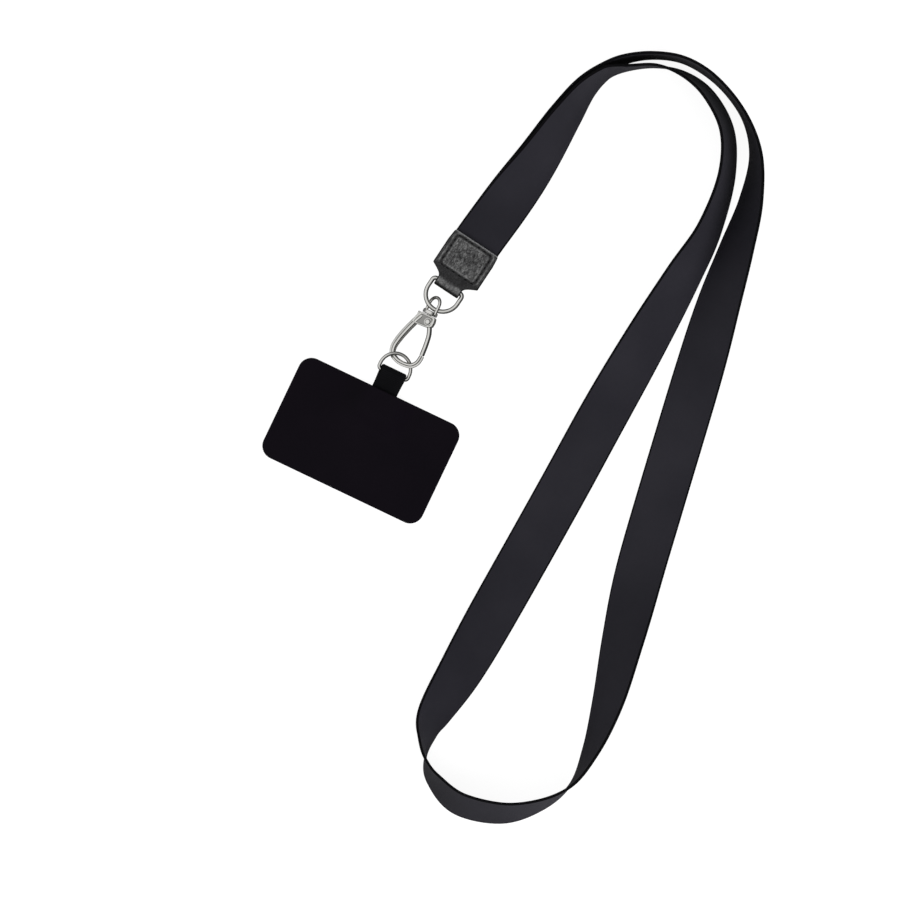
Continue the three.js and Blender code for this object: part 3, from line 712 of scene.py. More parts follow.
def restHeight(roll):
    # The middle's height when a rolled ribbon's low edge touches the surface
    roll = np.radians(roll)
    return (ribbon["width"] / 2 * np.abs(np.sin(roll))
            + ribbon["thickness"] / 2 * np.abs(np.cos(roll)))


def planTangent(samples):
    # Level direction from the sample before to the sample after
    ends = np.vstack([samples[:1], samples, samples[-1:]])[:, :2]
    return np.column_stack([unit(ends[2:] - ends[:-2]), np.zeros(len(samples))])


def widthAxis(tangent, roll):
    # The level left-hand direction, turned up by the roll
    roll = np.radians(roll)[:, None]
    left = np.column_stack([-tangent[:, 1], tangent[:, 0], 0 * tangent[:, 0]])
    return left * np.cos(roll) + np.array([0, 0, 1]) * np.sin(roll)


def ribbonStations():
    # Outward run, free loop and the return on top of the outward run: x, y, z and roll. The lead
    # goes to the last shared row, and the tucked end adds two spans to it.
    steps, shared = ribbon["steps"], ribbon["sharedRows"]
    noTail = np.zeros((0, 3))
    lead = routeSamples(routeRows[:shared + ribbon["rowsPastShared"]], noTail)
    lead = lead[:(shared + 2) * steps + 1]
    fromMouth = lead[:, :2] @ mouthDirection
    height = restHeight(lead[:, 2]) + layerStep * (1 - smoothStep(fromMouth / ribbon["liftRun"]))
    tangent = planTangent(lead)
    aside = np.cross(tangent, widthAxis(tangent, lead[:, 2])) * layerStep
    back = np.column_stack([lead[:, :2] + aside[:, :2], height + aside[:, 2], 180 - lead[:, 2]])[::-1]
    tail = back[[0, steps]][:, [0, 1, 3]]
    free = routeSamples(routeRows, tail)[:-steps]
    joinLift = back[0, 2] - restHeight(back[0, 3])
    share = (np.arange(len(free)) - (len(free) - 1 - steps)) / steps
    rise = restHeight(free[:, 2]) + joinLift * smoothStep(share)
    rise[:len(lead)] = height
    stations = np.column_stack([free[:, :2], rise, free[:, 2]])
    return np.vstack([stations, back[1:]])


def makeRibbon():
    # The selvedge profile carried along the stations, turned by each one's roll
    stations = ribbonStations()
    tangent = planTangent(stations)
    wide = widthAxis(tangent, stations[:, 3])
    through = np.cross(tangent, wide)
    profile = stripProfile(ribbon)
    points = (stations[:, None, :3] + wide[:, None, :] * profile[None, :, :1]
              + through[:, None, :] * profile[None, :, 1:])
    shell = closedGrid(points, uv=stripMap(stations[:, :3], profile))
    piece = makePiece("ribbon_loop", [shell], shiftBy(*layout["mouth"]), cloths["ribbonCloth"])
    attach(piece, "strap")
    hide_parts("strap_ribbon")


# Leather tab, folded round the D-ring's bar; its origin is the middle of the mouth
tab = {
    "thickness": 1.0,
    "bodyLength": 13.2,
    "taperRun": 3.1,
    "neckLength": 2.9,
    "mouthRun": 4.0,
    "halfBody": 8.85,
    "halfMouth": 8.5,
    "halfNeck": 4.7,
    "edgeRound": 0.4,
    "edgeTurn": 75,
    "mouthCorner": 0.8,
    "stitchSide": 2.1,
    "stitchMouth": 1.15,
    "stitchEnd": 12.45,
    "stitchCorner": 0.9,
    "stitchPitch": 2.35,
    "stitchLength": 1.75,
    "stitchRise": 0.12,
    "stitchDip": 0.9,
    "threadWidth": 0.55,
    "threadFlat": 0.8,
    "threadEnd": 0.06,
    "threadSides": 10,
    "grooveDepth": 0.24,
    "grooveWidth": 0.45,
    "padLift": 0.2,
    "padStart": 0.3,
    "padRise": 0.9,
    # Pebbles: height, the share outside the pad, pitch each way, the sizes and rates of their
    # wander, a slanted wave's size and rates, and where they end past the body and how gently
    "pebble": 0.07,
    "pebbleOutside": 0.25,
    "pebblePitch": (1.05, 1.5),
    "acrossWander": [(0.35, 1.7), (0.2, 3.1)],
    "alongWander": [(0.4, 1.9), (0.15, 4.3)],
    "slant": (0.5, 2.3, 3.7),
    "foldFade": (4.0, 3.0),
    "rowStep": 0.2,
    "outerColumns": 89,
    "innerColumns": 13,
}
tabHalfGap = layerStep + layout["softGap"] / 2
tabAxisHeight = tab["thickness"] + tabHalfGap
tabLength = tab["bodyLength"] + tab["taperRun"] + tab["neckLength"]


def tabHalfWidth(y):
    # From the mouth's round corner a straight widening, the straight body, a sine taper, then the
    # straight neck
    fromMouth = -y
    widening = np.clip(fromMouth / tab["mouthRun"], 0, 1)
    body = tab["halfMouth"] + (tab["halfBody"] - tab["halfMouth"]) * widening
    share = np.clip((fromMouth - tab["bodyLength"]) / tab["taperRun"], 0, 1)
    rounding = tab["mouthCorner"] * (1 - np.clip(fromMouth / tab["mouthCorner"], 0, 1))
    corner = tab["mouthCorner"] - np.sqrt(tab["mouthCorner"] ** 2 - rounding ** 2)
    return body + (tab["halfNeck"] - tab["halfBody"]) * np.sin(share * np.pi / 2) - corner


def stitchBox():
    # Half sizes of the stitched rectangle inside its round corners, and its middle
    halfX = tab["halfBody"] - tab["stitchSide"] - tab["stitchCorner"]
    halfY = (tab["stitchEnd"] - tab["stitchMouth"]) / 2 - tab["stitchCorner"]
    return halfX, halfY, -(tab["stitchEnd"] + tab["stitchMouth"]) / 2


def stitchDistance(x, y):
    # Signed distance to the stitched rounded rectangle, negative inside it
    halfX, halfY, middle = stitchBox()
    outX, outY = np.abs(x) - halfX, np.abs(y - middle) - halfY
    outside = np.hypot(np.maximum(outX, 0), np.maximum(outY, 0))
    return outside + np.minimum(np.maximum(outX, outY), 0) - tab["stitchCorner"]


def wandering(value, other, waves):
    # The value plus sines of the other one, each with its size and rate
    return value + sum(size * np.sin(rate * other) for size, rate in waves)


def tabRelief(x, y):
    # A groove along the stitches, a slightly raised pad inside them with pebbles from two crossed
    # sines whose phases wander, fading out before the fold
    distance = stitchDistance(x, y)
    groove = -tab["grooveDepth"] * np.exp(-(distance / tab["grooveWidth"]) ** 2)
    inside = smoothStep((-distance - tab["padStart"]) / tab["padRise"])
    pitchX, pitchY = tab["pebblePitch"]
    across = np.sin(2 * np.pi * wandering(x, y, tab["acrossWander"]) / pitchX)
    along = np.sin(2 * np.pi * wandering(y, x, tab["alongWander"]) / pitchY)
    slant, rateX, rateY = tab["slant"]
    share = tab["pebbleOutside"] + (1 - tab["pebbleOutside"]) * inside
    pebbles = tab["pebble"] * share * (across * along + slant * np.sin(rateX * x + rateY * y))
    past, run = tab["foldFade"]
    return groove + tab["padLift"] * inside + pebbles * smoothStep((tab["bodyLength"] + past + y) / run)


def tabPath():
    # Side view of the folded strip's middle: in along the bottom, round the fold and out on top
    radius = tabAxisHeight - tab["thickness"] / 2
    fold = -(tabLength - tabAxisHeight)
    cutRows = np.array([0.0, 0.05, 0.12, 0.22, 0.36])
    straight = -np.concatenate([cutRows, np.arange(0.5, -fold, tab["rowStep"])])
    angle = np.radians(np.linspace(-90, -270, 25))
    y = np.concatenate([straight, fold + radius * np.cos(angle), straight[::-1]])
    z = np.concatenate([0 * straight - radius, radius * np.sin(angle), 0 * straight + radius])
    return y, z


def makeTab():
    # A flat profile with round edges, as wide as the outline, carried along the folded path
    y, z = tabPath()
    path = np.column_stack([0 * y, y, z])
    outward = np.cross(unit(np.gradient(path, axis=0)), [1, 0, 0])
    rounding = roundEnds(path, tab["edgeRound"])
    half = tabHalfWidth(y)
    edge = tab["edgeRound"]
    outer = np.linspace(-1, 1, tab["outerColumns"])
    inner = np.linspace(1, -1, tab["innerColumns"])
    angle = np.radians(np.linspace(tab["edgeTurn"], -tab["edgeTurn"], 6))
    one = 0 * angle + 1
    shares = np.concatenate([outer, one, inner, -one])
    extra = np.concatenate([0 * outer, edge * np.cos(angle), 0 * inner, -edge * np.cos(angle)])
    level = np.concatenate([0 * outer + 1, np.sin(angle), 0 * inner - 1, -np.sin(angle)])
    onOuter = np.concatenate([0 * outer + 1, 0 * one, 0 * inner, 0 * one])
    x = shares * (half[:, None] - edge) + extra
    depth = level * rounding[:, None] * tab["thickness"] / 2
    depth = depth + onOuter * tabRelief(x, y[:, None])
    points = path[:, None, :] + outward[:, None, :] * depth[:, :, None]
    points[:, :, 0] = x
    points[:, :, 2] += tabAxisHeight
    run = runAlong(path)
    marks = {"stitchDistance": stitchDistance(x, y[:, None]),
             "fromFold": np.abs(run - run[-1] / 2)[:, None] + 0 * x,
             "fromMouth": np.minimum(run, run[-1] - run)[:, None] + 0 * x,
             "fromSide": half[:, None] - np.abs(x)}
    shell = closedGrid(points, marks=marks)
    piece = makePiece("tab_leather", [shell], tabPlace, leather)
    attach(piece, "strap")
    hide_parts("leather_tab")


def makeStitches():
    # Lock stitches on both faces: each a short oval thread that dives at its two ends, placed by
    # its length along the stitched rectangle
    halfX, halfY, middle = stitchBox()
    corner = tab["stitchCorner"]
    corners = [(halfX, halfY, 0), (-halfX, halfY, 90), (-halfX, -halfY, 180), (halfX, -halfY, 270)]
    arcs = [arcPoints(x, middle + y, corner, start, start + 90, 12) for x, y, start in corners]
    line = np.vstack([*arcs, arcs[0][:1]])
    run = runAlong(line)
    count = round(run[-1] / tab["stitchPitch"])
    steps = np.linspace(-0.5, 0.5, 9)
    face = tabAxisHeight - tab["grooveDepth"] + tab["stitchRise"]
    size = tab["threadWidth"] * np.sqrt(np.maximum(1 - (2 * steps) ** 2, tab["threadEnd"]))
    section = ovalSection(tab["threadSides"])
    shells = []
    for index in range(count):
        at = ((index + 0.5) / count * run[-1] + steps * tab["stitchLength"]) % run[-1]
        path = np.column_stack([np.interp(at, run, line[:, 0]), np.interp(at, run, line[:, 1]),
                                face - tab["stitchDip"] * steps ** 2])
        for side in ([1, 1, 1], [1, 1, -1]):
            shells.append(carried(path * side, size, size * tab["threadFlat"], section))
    piece = makePiece("tab_stitches", shells, tabPlace @ shiftBy(0, 0, tabAxisHeight), thread)
    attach(piece, "strap")


# Rings of round wire, each with its bar on its own x axis. The tether's ring has some slack in the
# hook's bend, and hangs aside from its middle and below it.
dRing = {"wire": 1.5, "reach": 9.2, "corner": 1.2, "sideGap": 0.3, "sides": 24}
tetherRing = {"wire": 1.2, "reach": 7.2, "corner": 1.1, "sideGap": 0.3, "sides": 24,
              "slack": 1.0, "shift": 2.35, "drop": 0.31}
webbing = {"width": 9.0, "thickness": 1.0, "reach": 6.2, "close": 5.0, "tail": 7.0,
           "layerGap": 0.01, "endRound": 0.35, "bead": 0.5, "beadTurn": 80, "beadSteps": 7,
           "faceInset": 0.5, "faceSteps": 15, "waist": 1.0}
dRingHalf = tab["halfNeck"] + dRing["sideGap"] + dRing["wire"] / 2
tetherHalf = webbing["width"] / 2 + tetherRing["sideGap"] + tetherRing["wire"] / 2
bowCentre = dRing["reach"] - dRingHalf
barFromMouth = tabLength - tab["thickness"] - layout["softGap"] - dRing["wire"] / 2
foldRadius = tetherRing["wire"] / 2 + layout["softGap"] + webbing["thickness"]
rollAngle = math.radians(layout["tetherRoll"])
tetherBarHeight = foldRadius * math.cos(rollAngle) + webbing["width"] / 2 * math.sin(rollAngle)
hookHeight = tetherBarHeight + tetherRing["drop"]
dRingTilt = math.degrees(math.asin((hookHeight - tabAxisHeight) / dRing["reach"]))

# Swivel bail and its collar
bail = {"play": 0.3, "wire": 1.1, "innerWidth": 3.6, "reach": 3.8, "collar": 5.2,
        "collarHeight": 1.4, "post": 1.3, "postHead": 2.4, "postHeadHeight": 0.4, "edge": 0.22,
        "headUnder": 0.1, "headInset": 0.2, "headDrop": 0.15, "sides": 24, "collarSides": 64,
        "postSides": 32}
collarTop = -(dRing["wire"] / 2 + bail["play"])
collarBottom = collarTop - bail["collarHeight"]
shoulder = collarBottom - layout["metalGap"]
postTop = collarTop - layout["metalGap"] / 2

# Snap hook: length and width from its shoulder, block, gate and rivet
hook = {
    "length": 19.1,
    "width": 12.0,
    "steps": 10,
    "postRoot": 0.5,
    "blockDepth": 3.2,
    "blockCorner": 0.5,
    "cheekTop": 1.36,
    "cheekBevel": 0.35,
    "slotBevel": 0.08,
    "bevelFlat": 0.55,
    # How far the panels of the two cheeks are sunk, and their rows: shares of the outline and of
    # that depth, and how much painted shade darkens them and how much rougher they are
    "sunk": 0.36,
    "panelRows": [(0.8, 0.0, 0.0), (0.74, 0.9, 0.7), (0.7, 1.0, 1.0), (0.4, 1.0, 1.0),
                  (0.02, 1.0, 1.0)],
    # The web and bar between the cheeks, drawn in from the block's outline
    "fillLeft": 0.7,
    "fillRight": 0.8,
    "fillLow": 0.25,
    "fillTop": 0.05,
    "fillLap": 0.1,
    "fillBevel": 0.05,
    "fillCorner": 0.2,
    "gateWidth": 1.65,
    "gateDepth": 1.2,
    "knuckle": 2.6,
    "knuckleEdge": 0.15,
    "knuckleSides": 48,
    "rivet": 1.0,
    "rivetHead": 1.9,
    "rivetHeadHeight": 0.35,
    "rivetAcross": 0.08,
    "rivetAlong": 0.113,
    "rivetSides": 40,
    # Rivet seat: its radius, and rows of its share and the height above the cheek
    "boss": 1.4,
    "bossRows": [(0.0, 0.05), (0.5, 0.05), (0.72, 0.24), (0.82, 0.24), (0.93, 0.16), (1.0, -0.45),
                 (0.0, -0.45)],
    # Corners of the two sections as shares of the half width and half depth. The first share is 1
    # at the outer side of the arm and at the inner side of the gate.
    "facetSoft": 0.14,
    "armFacets": [(1.0, -0.45), (1.0, 0.42), (0.28, 0.62), (0.05, 0.97), (-0.5, 0.97),
                  (-1.0, 0.35), (-1.0, -0.45), (-0.5, -1.0), (0.5, -1.0)],
    "gateFacets": [(1.0, -0.4), (1.0, 0.3), (0.4, 0.95), (-0.3, 0.95), (-1.0, 0.1),
                   (-1.0, -0.4), (-0.4, -1.0), (0.4, -1.0)],
    "tipRound": 0.08,
    "tipLeast": 0.9,
}
# The arm from block to nose: across, along, width, depth
hookRows = np.array([
    (-0.18, 0.05, 2.3, 2.6),
    (-0.296, 0.215, 2.3, 2.5),
    (-0.403, 0.405, 2.3, 2.4),
    (-0.485, 0.595, 2.3, 2.3),
    (-0.517, 0.757, 2.1, 2.0),
    (-0.455, 0.877, 1.9, 1.75),
    (-0.26, 0.946, 1.75, 1.6),
    (-0.025, 0.957, 1.7, 1.6),
    (0.172, 0.928, 1.7, 1.6),
    (0.29, 0.845, 1.7, 1.6),
    (0.322, 0.76, 1.7, 1.6),
    (0.327, 0.697, 1.6, 1.5),
])
# The block's corners, and the gate from its knuckle to the nose: across and along
blockRows = np.array([
    (-0.22, 0.0),
    (0.22, 0.0),
    (0.25, 0.075),
    (0.24, 0.17),
    (0.09, 0.215),
    (-0.16, 0.225),
    (-0.37, 0.225),
    (-0.31, 0.09),
])
gateRows = np.array([
    (0.145, 0.16),
    (0.245, 0.31),
    (0.295, 0.5),
    (0.319, 0.691),
])
lowRow = hookRows[hookRows[:, 1].argmax()]
tetherBar = (shoulder - hook["length"] + lowRow[2] + tetherRing["wire"] / 2
             + tetherRing["slack"] - tetherRing["reach"])

# Places, each from the one that it hangs on
laidPlace = shiftBy(*layout["mouth"])
tabPlace = laidPlace @ turnAbout(2, -layout["tabTurn"])
dRingPlace = tabPlace @ shiftBy(0, -barFromMouth, tabAxisHeight) @ turnAbout(0, -dRingTilt)
seatAngle = math.radians(layout["bailSeatTurn"])
seatReach = (bowCentre + dRingHalf * math.cos(seatAngle)) * math.cos(math.radians(dRingTilt))
seat = np.array([[-dRingHalf * math.sin(seatAngle), -barFromMouth - seatReach, hookHeight]])
seatPoint = placed(seat, turnAbout(2, -layout["tabTurn"]))[0]
hangingPlace = laidPlace @ shiftBy(*seatPoint) @ turnAbout(2, -layout["hookTurn"])
bailPlace = hangingPlace @ turnAbout(1, -layout["bailRoll"])
hookPlace = hangingPlace @ turnAbout(1, -layout["hookRoll"])
tetherPlace = (hangingPlace @ shiftBy(-tetherRing["shift"], tetherBar, -hookHeight)
               @ turnAbout(2, layout["hookTurn"] - layout["tetherTurn"]))
smallRingPlace = tetherPlace @ shiftBy(0, 0, tetherBarHeight) @ turnAbout(1, layout["tetherRoll"])


def dRingPath(half, reach, corner):
    # Bar at y 0 with round corners, two straight sides and a half-round bow
    bar = np.linspace(-1, 1, 12)[1:-1, None] * [half - corner, 0, 0]
    side = np.linspace(0, 1, 8)[1:-1, None] * [0, half - reach + corner, 0]
    right = np.array([half, -corner, 0]) + side
    left = np.array([-half, half - reach, 0]) - side
    return np.vstack([arcPoints(half - corner, -corner, corner, 90, 0, 8), right,
                      arcPoints(0, half - reach, half, 0, -180, 64), left,
                      arcPoints(corner - half, -corner, corner, 180, 90, 8), bar])


def makeMetal(name, shells, place, body, node):
    # A nickel piece that stands for one CAD node
    piece = makePiece(name, shells, place, nickel)
    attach(piece, body)
    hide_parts(node)


def makeRings():
    # Round wire carried along each ring's path
    large = carried(dRingPath(dRingHalf, dRing["reach"], dRing["corner"]),
                    dRing["wire"], dRing["wire"], ovalSection(dRing["sides"]), closed=True)
    makeMetal("large_ring", [large], dRingPlace, "ring", "d_ring")
    path = dRingPath(tetherHalf, tetherRing["reach"], tetherRing["corner"]) * [1, -1, 1]
    small = carried(path, tetherRing["wire"], tetherRing["wire"], ovalSection(tetherRing["sides"]),
                    closed=True)
    makeMetal("small_ring", [small], smallRingPlace, "hook", "tether_ring")


def makeBail():
    # Wire stirrup let into a collar with a counterbored hole and soft edges
    half = (bail["innerWidth"] + bail["wire"]) / 2
    foot, crown = collarTop - bail["collarHeight"] / 2, bail["reach"] - half
    rise = np.linspace(foot, crown, 15)[:-1, None] * [0, 1, 0]
    path = np.vstack([rise - [half, 0, 0], arcPoints(0, crown, half, 180, 0, 33),
                      rise[::-1] + [half, 0, 0]])
    loop = carried(path, bail["wire"], bail["wire"], ovalSection(bail["sides"]))
    outer, edge = bail["collar"] / 2, bail["edge"]
    hole = bail["post"] / 2 + layout["metalGap"]
    bore = bail["postHead"] / 2 + layout["metalGap"]
    boreFloor = postTop - bail["postHeadHeight"] - layout["metalGap"]
    profile = [(hole, boreFloor), (hole, collarBottom), (outer - edge, collarBottom),
               (outer, collarBottom + edge), (outer, collarTop - edge), (outer - edge, collarTop),
               (bore, collarTop), (bore, boreFloor)]
    collar = lathed(profile, bail["collarSides"], pierced=True)
    makeMetal("bail_and_collar", [loop, collar], bailPlace, "ring", "swivel_bail")


def inHook(rows):
    # Shares across and along to places in the hook's plane
    return np.column_stack([rows[:, 0] * hook["width"], shoulder - rows[:, 1] * hook["length"],
                            0 * rows[:, 0]])


def bevelledPlate(corners, low, high, bevels, corner, sunk=0.0):
    # A plate between two heights whose rim is drawn in along a quarter oval at each face. A sunk
    # panel, the outline shrunk about its middle, lies that much below the face that looks outward.
    outline = softCorners(corners, corner)
    toNext = np.roll(corners, -1, axis=0) - corners
    turned = np.cross(corners - corners.mean(axis=0), toNext)[:, 2].sum()
    inward = np.cross([0, 0, 1], unit(neighbourStep(outline))) * np.sign(turned)
    angle = np.radians(np.linspace(0, 90, 5))
    inset, drop = 1 - np.sin(angle), (1 - np.cos(angle)) * hook["bevelFlat"]
    rows = []
    for face, side, bevel in ((low, 1, bevels[0]), (high, -1, bevels[1])):
        rows += [outline + inward * pulled * bevel + np.array([0, 0, face + side * raised * bevel])
                 for pulled, raised in zip(inset[::side], drop[::side])]
    # The recess mark darkens the nickel with painted shade and makes it rougher
    recess = [0.0] * len(rows)
    if sunk:
        upward = abs(high) > abs(low)
        face, toPlate = (high, -1) if upward else (low, 1)
        middle = outline.mean(axis=0)
        panel = [middle + (outline - middle) * share + np.array([0, 0, face + toPlate * sunk * depth])
                 for share, depth, shaded in hook["panelRows"]]
        recessShade = [shaded for share, depth, shaded in hook["panelRows"]]
        rows = rows + panel if upward else panel[::-1] + rows
        recess = recess + recessShade if upward else recessShade[::-1] + recess
    marks = {"recess": np.repeat(np.array(recess)[:, None], len(outline), axis=1)}
    return closedGrid(np.array(rows), marks=marks)


def armShell(rows, widths, depths, facets):
    # A section with softened facets along the spline through the rows, as wide as drawn between them
    path = splineThrough(inHook(rows), hook["steps"])
    at = np.linspace(0, len(rows) - 1, len(path))
    ends = roundEnds(path, hook["tipRound"], hook["tipLeast"])
    wide = np.interp(at, np.arange(len(rows)), np.broadcast_to(widths, len(rows))) * ends
    deep = np.interp(at, np.arange(len(rows)), np.broadcast_to(depths, len(rows))) * ends
    return carried(path, wide, deep, softCorners(np.array(facets), hook["facetSoft"], count=4))


rivetPoint = inHook(np.array([[hook["rivetAcross"], hook["rivetAlong"]]]))[0]
halfSlot = hook["gateDepth"] / 2 + layout["metalGap"]
slotReach = hook["knuckle"] / 2 + layout["metalGap"]


def makeHook():
    # Arm, two cheeks with the web and bar between them, the rivet's two seats, and the post with its
    # head
    arm = armShell(hookRows, hookRows[:, 2], hookRows[:, 3], hook["armFacets"])
    outline = inHook(blockRows)
    top, bevel, slotBevel = hook["cheekTop"], hook["cheekBevel"], hook["slotBevel"]
    cheeks = [bevelledPlate(outline, low, high, bevels, hook["blockCorner"], hook["sunk"])
              for low, high, bevels in [(halfSlot, top, (slotBevel, bevel)),
                                        (-top, -halfSlot, (bevel, slotBevel))]]
    seat = lathed([(share * hook["boss"], top + rise) for share, rise in hook["bossRows"]],
                  hook["rivetSides"])
    bosses = [movedShell(seat, shiftBy(*rivetPoint) @ turnAbout(0, side)) for side in (90, -90)]
    left, right = outline[:, 0].min() + hook["fillLeft"], outline[:, 0].max() - hook["fillRight"]
    webTop, webLow = shoulder - hook["fillTop"], outline[:, 1].min() + hook["fillLow"]
    fills = []
    for side, low in [(rivetPoint[0] - slotReach, webLow), (right, rivetPoint[1] + slotReach)]:
        corners = np.array([(left, webTop, 0), (side, webTop, 0), (side, low, 0), (left, low, 0)])
        deep = halfSlot + hook["fillLap"]
        fills.append(bevelledPlate(corners, -deep, deep, (hook["fillBevel"],) * 2, hook["fillCorner"]))
    radius, head, root = bail["post"] / 2, bail["postHead"] / 2, shoulder - hook["postRoot"]
    headLow = postTop - bail["postHeadHeight"]
    post = lathed([(0, root), (radius, root), (radius, headLow), (head - bail["headUnder"], headLow),
                   (head, headLow + bail["headUnder"]), (head, postTop - bail["headDrop"]),
                   (head - bail["headInset"], postTop), (0, postTop)], bail["postSides"])
    makeMetal("hook_body", [arm, *cheeks, *bosses, *fills, post], hookPlace, "hook", "snap_hook")


def makeGate():
    # Curved arm on a pierced round knuckle, and the domed rivet through it
    arm = armShell(gateRows, hook["gateWidth"], hook["gateDepth"], hook["gateFacets"])
    hole, outer = hook["rivet"] / 2 + layout["metalGap"], hook["knuckle"] / 2
    half, edge = hook["gateDepth"] / 2, hook["knuckleEdge"]
    onRivet = shiftBy(*rivetPoint) @ turnAbout(0, 90)
    ring = [(hole, -half), (outer - edge, -half), (outer, edge - half), (outer, half - edge),
            (outer - edge, half), (hole, half)]
    knuckle = movedShell(lathed(ring, hook["knuckleSides"], pierced=True), onRivet)
    makeMetal("gate_arm", [arm, knuckle], hookPlace, "gate", "hook_gate")
    seatHeight = hook["blockDepth"] / 2 + layout["metalGap"]
    shaft, head, rise = hook["rivet"] / 2, hook["rivetHead"] / 2, hook["rivetHeadHeight"]
    dome = [(head * math.cos(a), seatHeight + rise * math.sin(a))
            for a in np.radians(np.linspace(0, 90, 7))]
    profile = [(r, -z) for r, z in dome[::-1]] + [(shaft, -seatHeight), (shaft, seatHeight)] + dome
    pin = movedShell(lathed(profile, hook["rivetSides"]), onRivet)
    makeMetal("rivet_pin", [pin], hookPlace, "hook", "gate_rivet")


def makeWebbing():
    # One strip from the tail's end round the bar and back on top of itself: its height above the
    # middle line goes from the fold's radius to half its thickness, and the middle line comes down
    thick, reach = webbing["thickness"], webbing["reach"]
    radius = foldRadius - thick / 2
    end = reach + webbing["tail"]
    cutRows = end - np.array([0.4, 0.22, 0.1, 0.0])
    run = np.concatenate([np.linspace(0, reach, 26)[1:], np.linspace(reach, end, 15)[1:-4], cutRows])
    tailOffset = thick / 2 + webbing["layerGap"]
    above = tailOffset + (radius - tailOffset) * (1 - smoothStep(run / webbing["close"]))
    angle = np.radians(np.linspace(90, 270, 25))
    along = np.concatenate([run[::-1], radius * np.cos(angle), run])
    level = np.concatenate([above[::-1], radius * np.sin(angle), -above])
    path = np.column_stack([along, level])
    tangent = unit(np.gradient(path, axis=0))
    normal = np.column_stack([tangent[:, 1], -tangent[:, 0]])
    profile = stripProfile(webbing)
    offset = profile[None, :, 1] * roundEnds(path, webbing["endRound"])[:, None]
    fromBar = path[:, :1] + normal[:, :1] * offset
    height = path[:, 1:] + normal[:, 1:] * offset
    across = np.broadcast_to(profile[:, 0], fromBar.shape)
    share = smoothStep(fromBar / reach)
    middle = tetherBarHeight + (thick - tetherBarHeight) * share
    roll = rollAngle * (1 - share)
    points = np.stack([across * np.cos(roll) + height * np.sin(roll), -fromBar,
                       middle + height * np.cos(roll) - across * np.sin(roll)], axis=-1)
    shell = closedGrid(points, uv=stripMap(path, profile))
    piece = makePiece("webbing_loop", [shell], tetherPlace, cloths["webbingCloth"])
    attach(piece, "tether")
    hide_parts("tether_webbing")


# Patch: a thin sheet with round corners that lies over the webbing's tail
patch = {"width": 58.7, "length": 36.6, "thickness": 1.0, "corner": 4.6, "drape": 8.0, "edge": 0.45,
         "nearRim": [0.8, 1.3, 2.0, 2.8, 3.6], "innerRings": 25, "longSteps": 52, "shortSteps": 28}


def makePatch():
    # Rings from the rounded rectangle's outline inwards, top and bottom, closed at the rim by a
    # half oval; each point is lifted by the tail beneath it, falling off as a smooth step
    halfX, halfY, corner = patch["width"] / 2, patch["length"] / 2, patch["corner"]
    middle = -(webbing["reach"] + halfY)
    centres = [(halfX - corner, halfY - corner, 0), (corner - halfX, halfY - corner, 90),
               (corner - halfX, corner - halfY, 180), (halfX - corner, corner - halfY, 270)]
    arcs = [arcPoints(x, y, corner, start, start + 90, 16) for x, y, start in centres]
    parts = []
    for arc, following in zip(arcs, arcs[1:] + arcs[:1]):
        onLongSide = abs(arc[-1, 0] - following[0, 0]) > corner
        count = patch["longSteps"] if onLongSide else patch["shortSteps"]
        parts += [arc, np.linspace(arc[-1], following[0], count)[1:-1]]
    outline = np.vstack(parts)
    inward = np.cross([0, 0, 1], unit(neighbourStep(outline)))
    angle = np.radians(np.linspace(0, 90, 6))
    insets = np.concatenate([patch["edge"] * (1 - np.cos(angle)), patch["nearRim"]])
    rings = [outline + inward * inset for inset in insets]
    shares = np.linspace(1, 0.01, patch["innerRings"] + 1)[1:]
    rings += [rings[-1] * share for share in shares]
    half = np.array(rings)
    rims = np.ones(len(half))
    rims[:len(angle)] = np.sin(angle)
    levels = np.concatenate([rims[:0:-1], -rims]) * patch["thickness"] / 2
    points = np.concatenate([half[:0:-1], half])
    points[:, :, 1] += middle
    tailHalf = webbing["width"] / 2 + layout["softGap"]
    tailEnd = webbing["tail"] + layout["softGap"]
    beside = 1 - smoothStep((np.abs(points[:, :, 0]) - tailHalf) / patch["drape"])
    beyond = 1 - smoothStep((-points[:, :, 1] - webbing["reach"] - tailEnd) / patch["drape"])
    lift = (2 * webbing["thickness"] + layout["softGap"]) * beside * beyond
    points[:, :, 2] = lift + patch["thickness"] / 2 + levels[:, None]
    ring = np.concatenate([points, points[:, :1]], axis=1)
    uv = np.concatenate([ring[:, :, :2], ring[-1:, :, :2]], axis=0)
    piece = makePiece("patch_sheet", [closedGrid(points, uv=uv)], tetherPlace, cloths["patchCloth"])
    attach(piece, "tether")
    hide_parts("tether_patch")


makeTab()
makeStitches()
makeRibbon()
makeRings()
makeBail()
makeHook()
makeGate()
makeWebbing()
makePatch()

# Floor, lights and camera, in metres: the camera looks straight down on a square of floor
studio = {
    "viewX": -0.0210,
    "viewY": -0.0038,
    "viewWidth": 0.300,
    "cameraHeight": 3.0,
    "floorHalf": 3.0,
    "floorDrop": 0.0003,
    "floorTone": {"Scale": 3.0, "Fine_Scale": 200.0, "Dark": (0.9, 0.9, 0.9, 1),
                  "Light": (0.92, 0.92, 0.92, 1)},
    "mirroredFloor": (0.2, 0.2, 0.2, 1),
    "floorGlow": 0.9,
    "litSide": (-0.45, 0.15, 0.88),
    "dimBelow": 0.35,
    "brightAbove": 0.85,
    "dimSky": 0.06,
    "brightSky": 0.95,
    # Each lamp's place and watts
    "lamps": {"leftSoftBox": ((-1.2, 0.3, 0.6), 2.5), "rightSoftBox": ((0.9, -0.9, 0.6), 26.0)},
    "lampSize": 1.0,
}


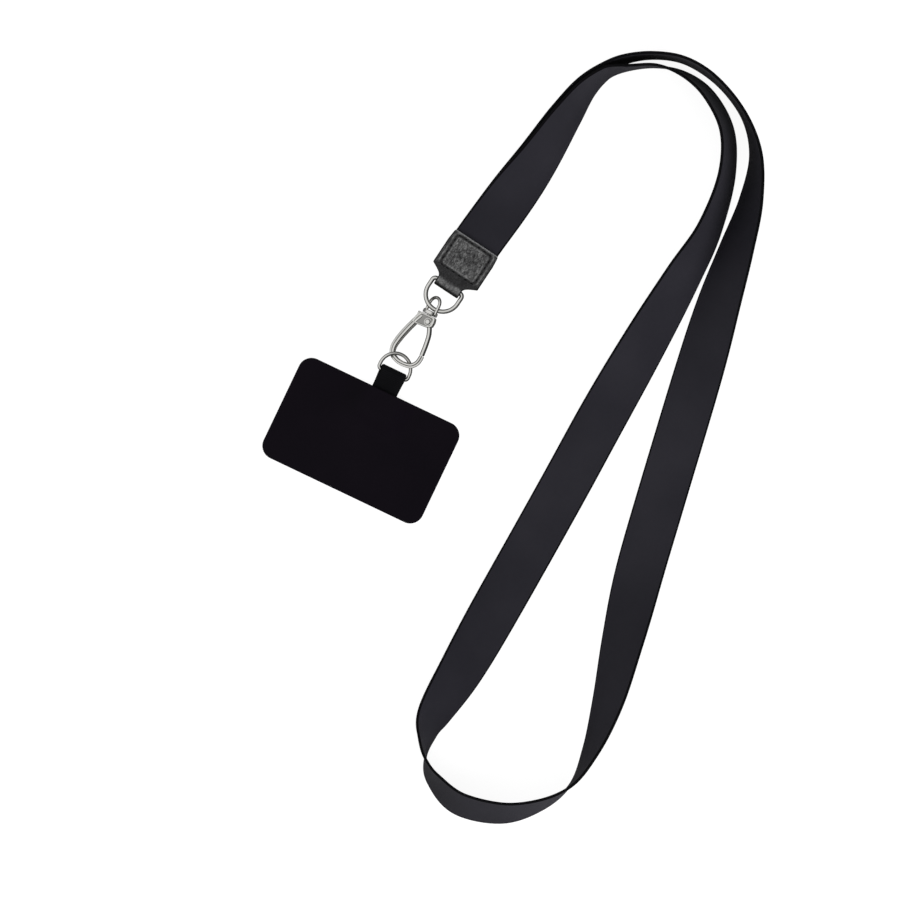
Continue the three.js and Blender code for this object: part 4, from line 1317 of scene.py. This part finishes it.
def makeFloor():
    # A level square, just under the strap
    half, drop = studio["floorHalf"], studio["floorDrop"]
    corners = [(-half, -half, -drop), (half, -half, -drop), (half, half, -drop), (-half, half, -drop)]
    mesh = bpy.data.meshes.new("studio_floor")
    mesh.from_pydata(corners, [], [(0, 1, 2, 3)])
    material, tree, shader, place = newMaterial("paleFloor", Roughness=0.7)
    tone = useGroup(tree, "toneDrift", place["Object"], **studio["floorTone"])
    # Mirrored in the metal the floor is dimmer, as dark cards round a studio table make it. Where
    # it is seen itself it is as dim but glows, which hides the shadows.
    ray = tree.nodes.new("ShaderNodeLightPath")
    seen = mathNode(tree, "MAXIMUM", ray.outputs["Is Glossy Ray"], ray.outputs["Is Camera Ray"])
    mirrored = blended(tree, seen, tone["Color"], studio["mirroredFloor"])
    tree.links.new(mirrored, shader.inputs["Base Color"])
    glow = mathNode(tree, "MULTIPLY", ray.outputs["Is Camera Ray"], studio["floorGlow"])
    shader.inputs["Emission Color"].default_value = (1, 1, 1, 1)
    tree.links.new(glow, shader.inputs["Emission Strength"])
    mesh.materials.append(material)
    floor = bpy.data.objects.new("studio_floor", mesh)
    bpy.context.scene.collection.objects.link(floor)


def addLamp(name, place, power):
    # A square soft box that faces the strap and isn't mirrored in the metal
    lamp = bpy.data.lights.new(name, "AREA")
    lamp.size = studio["lampSize"]
    lamp.energy = power
    holder = bpy.data.objects.new(name, lamp)
    bpy.context.scene.collection.objects.link(holder)
    holder.location = place
    holder.visible_glossy = False
    tilt = math.atan2(math.hypot(place[0], place[1]), place[2])
    holder.rotation_euler = (tilt, 0, math.atan2(place[1], place[0]) + math.pi / 2)


def makeWorld():
    # A sky that is bright overhead and to the left, and dim at the right and the horizon: its
    # strength goes by the share of the direction that lies along the lit side
    world = bpy.data.worlds.new("studioWorld")
    world.use_nodes = True
    tree = world.node_tree
    direction = tree.nodes.new("ShaderNodeTexCoord").outputs["Generated"]
    lit = tree.nodes.new("ShaderNodeVectorMath")
    lit.operation = "DOT_PRODUCT"
    lit.inputs[1].default_value = studio["litSide"]
    tree.links.new(direction, lit.inputs[0])
    light = mapRange(tree, lit.outputs["Value"], studio["dimBelow"], studio["brightAbove"],
                     studio["dimSky"], studio["brightSky"])
    back = tree.nodes["Background"]
    back.inputs["Color"].default_value = (1, 1, 1, 1)
    tree.links.new(light, back.inputs["Strength"])
    bpy.context.scene.world = world


makeFloor()
makeWorld()
for name, (place, power) in studio["lamps"].items():
    addLamp(name, place, power)
bpy.context.scene.view_settings.view_transform = "Standard"

camera = bpy.data.cameras.new("overheadCamera")
camera.sensor_width = 36.0
camera.lens = camera.sensor_width * studio["cameraHeight"] / studio["viewWidth"]
camera.clip_end = 20.0
viewer = bpy.data.objects.new("overheadCamera", camera)
viewer.location = (studio["viewX"], studio["viewY"], studio["cameraHeight"])
bpy.context.scene.collection.objects.link(viewer)
bpy.context.scene.camera = viewer
print("studio ready")

bpy.context.view_layer.update()
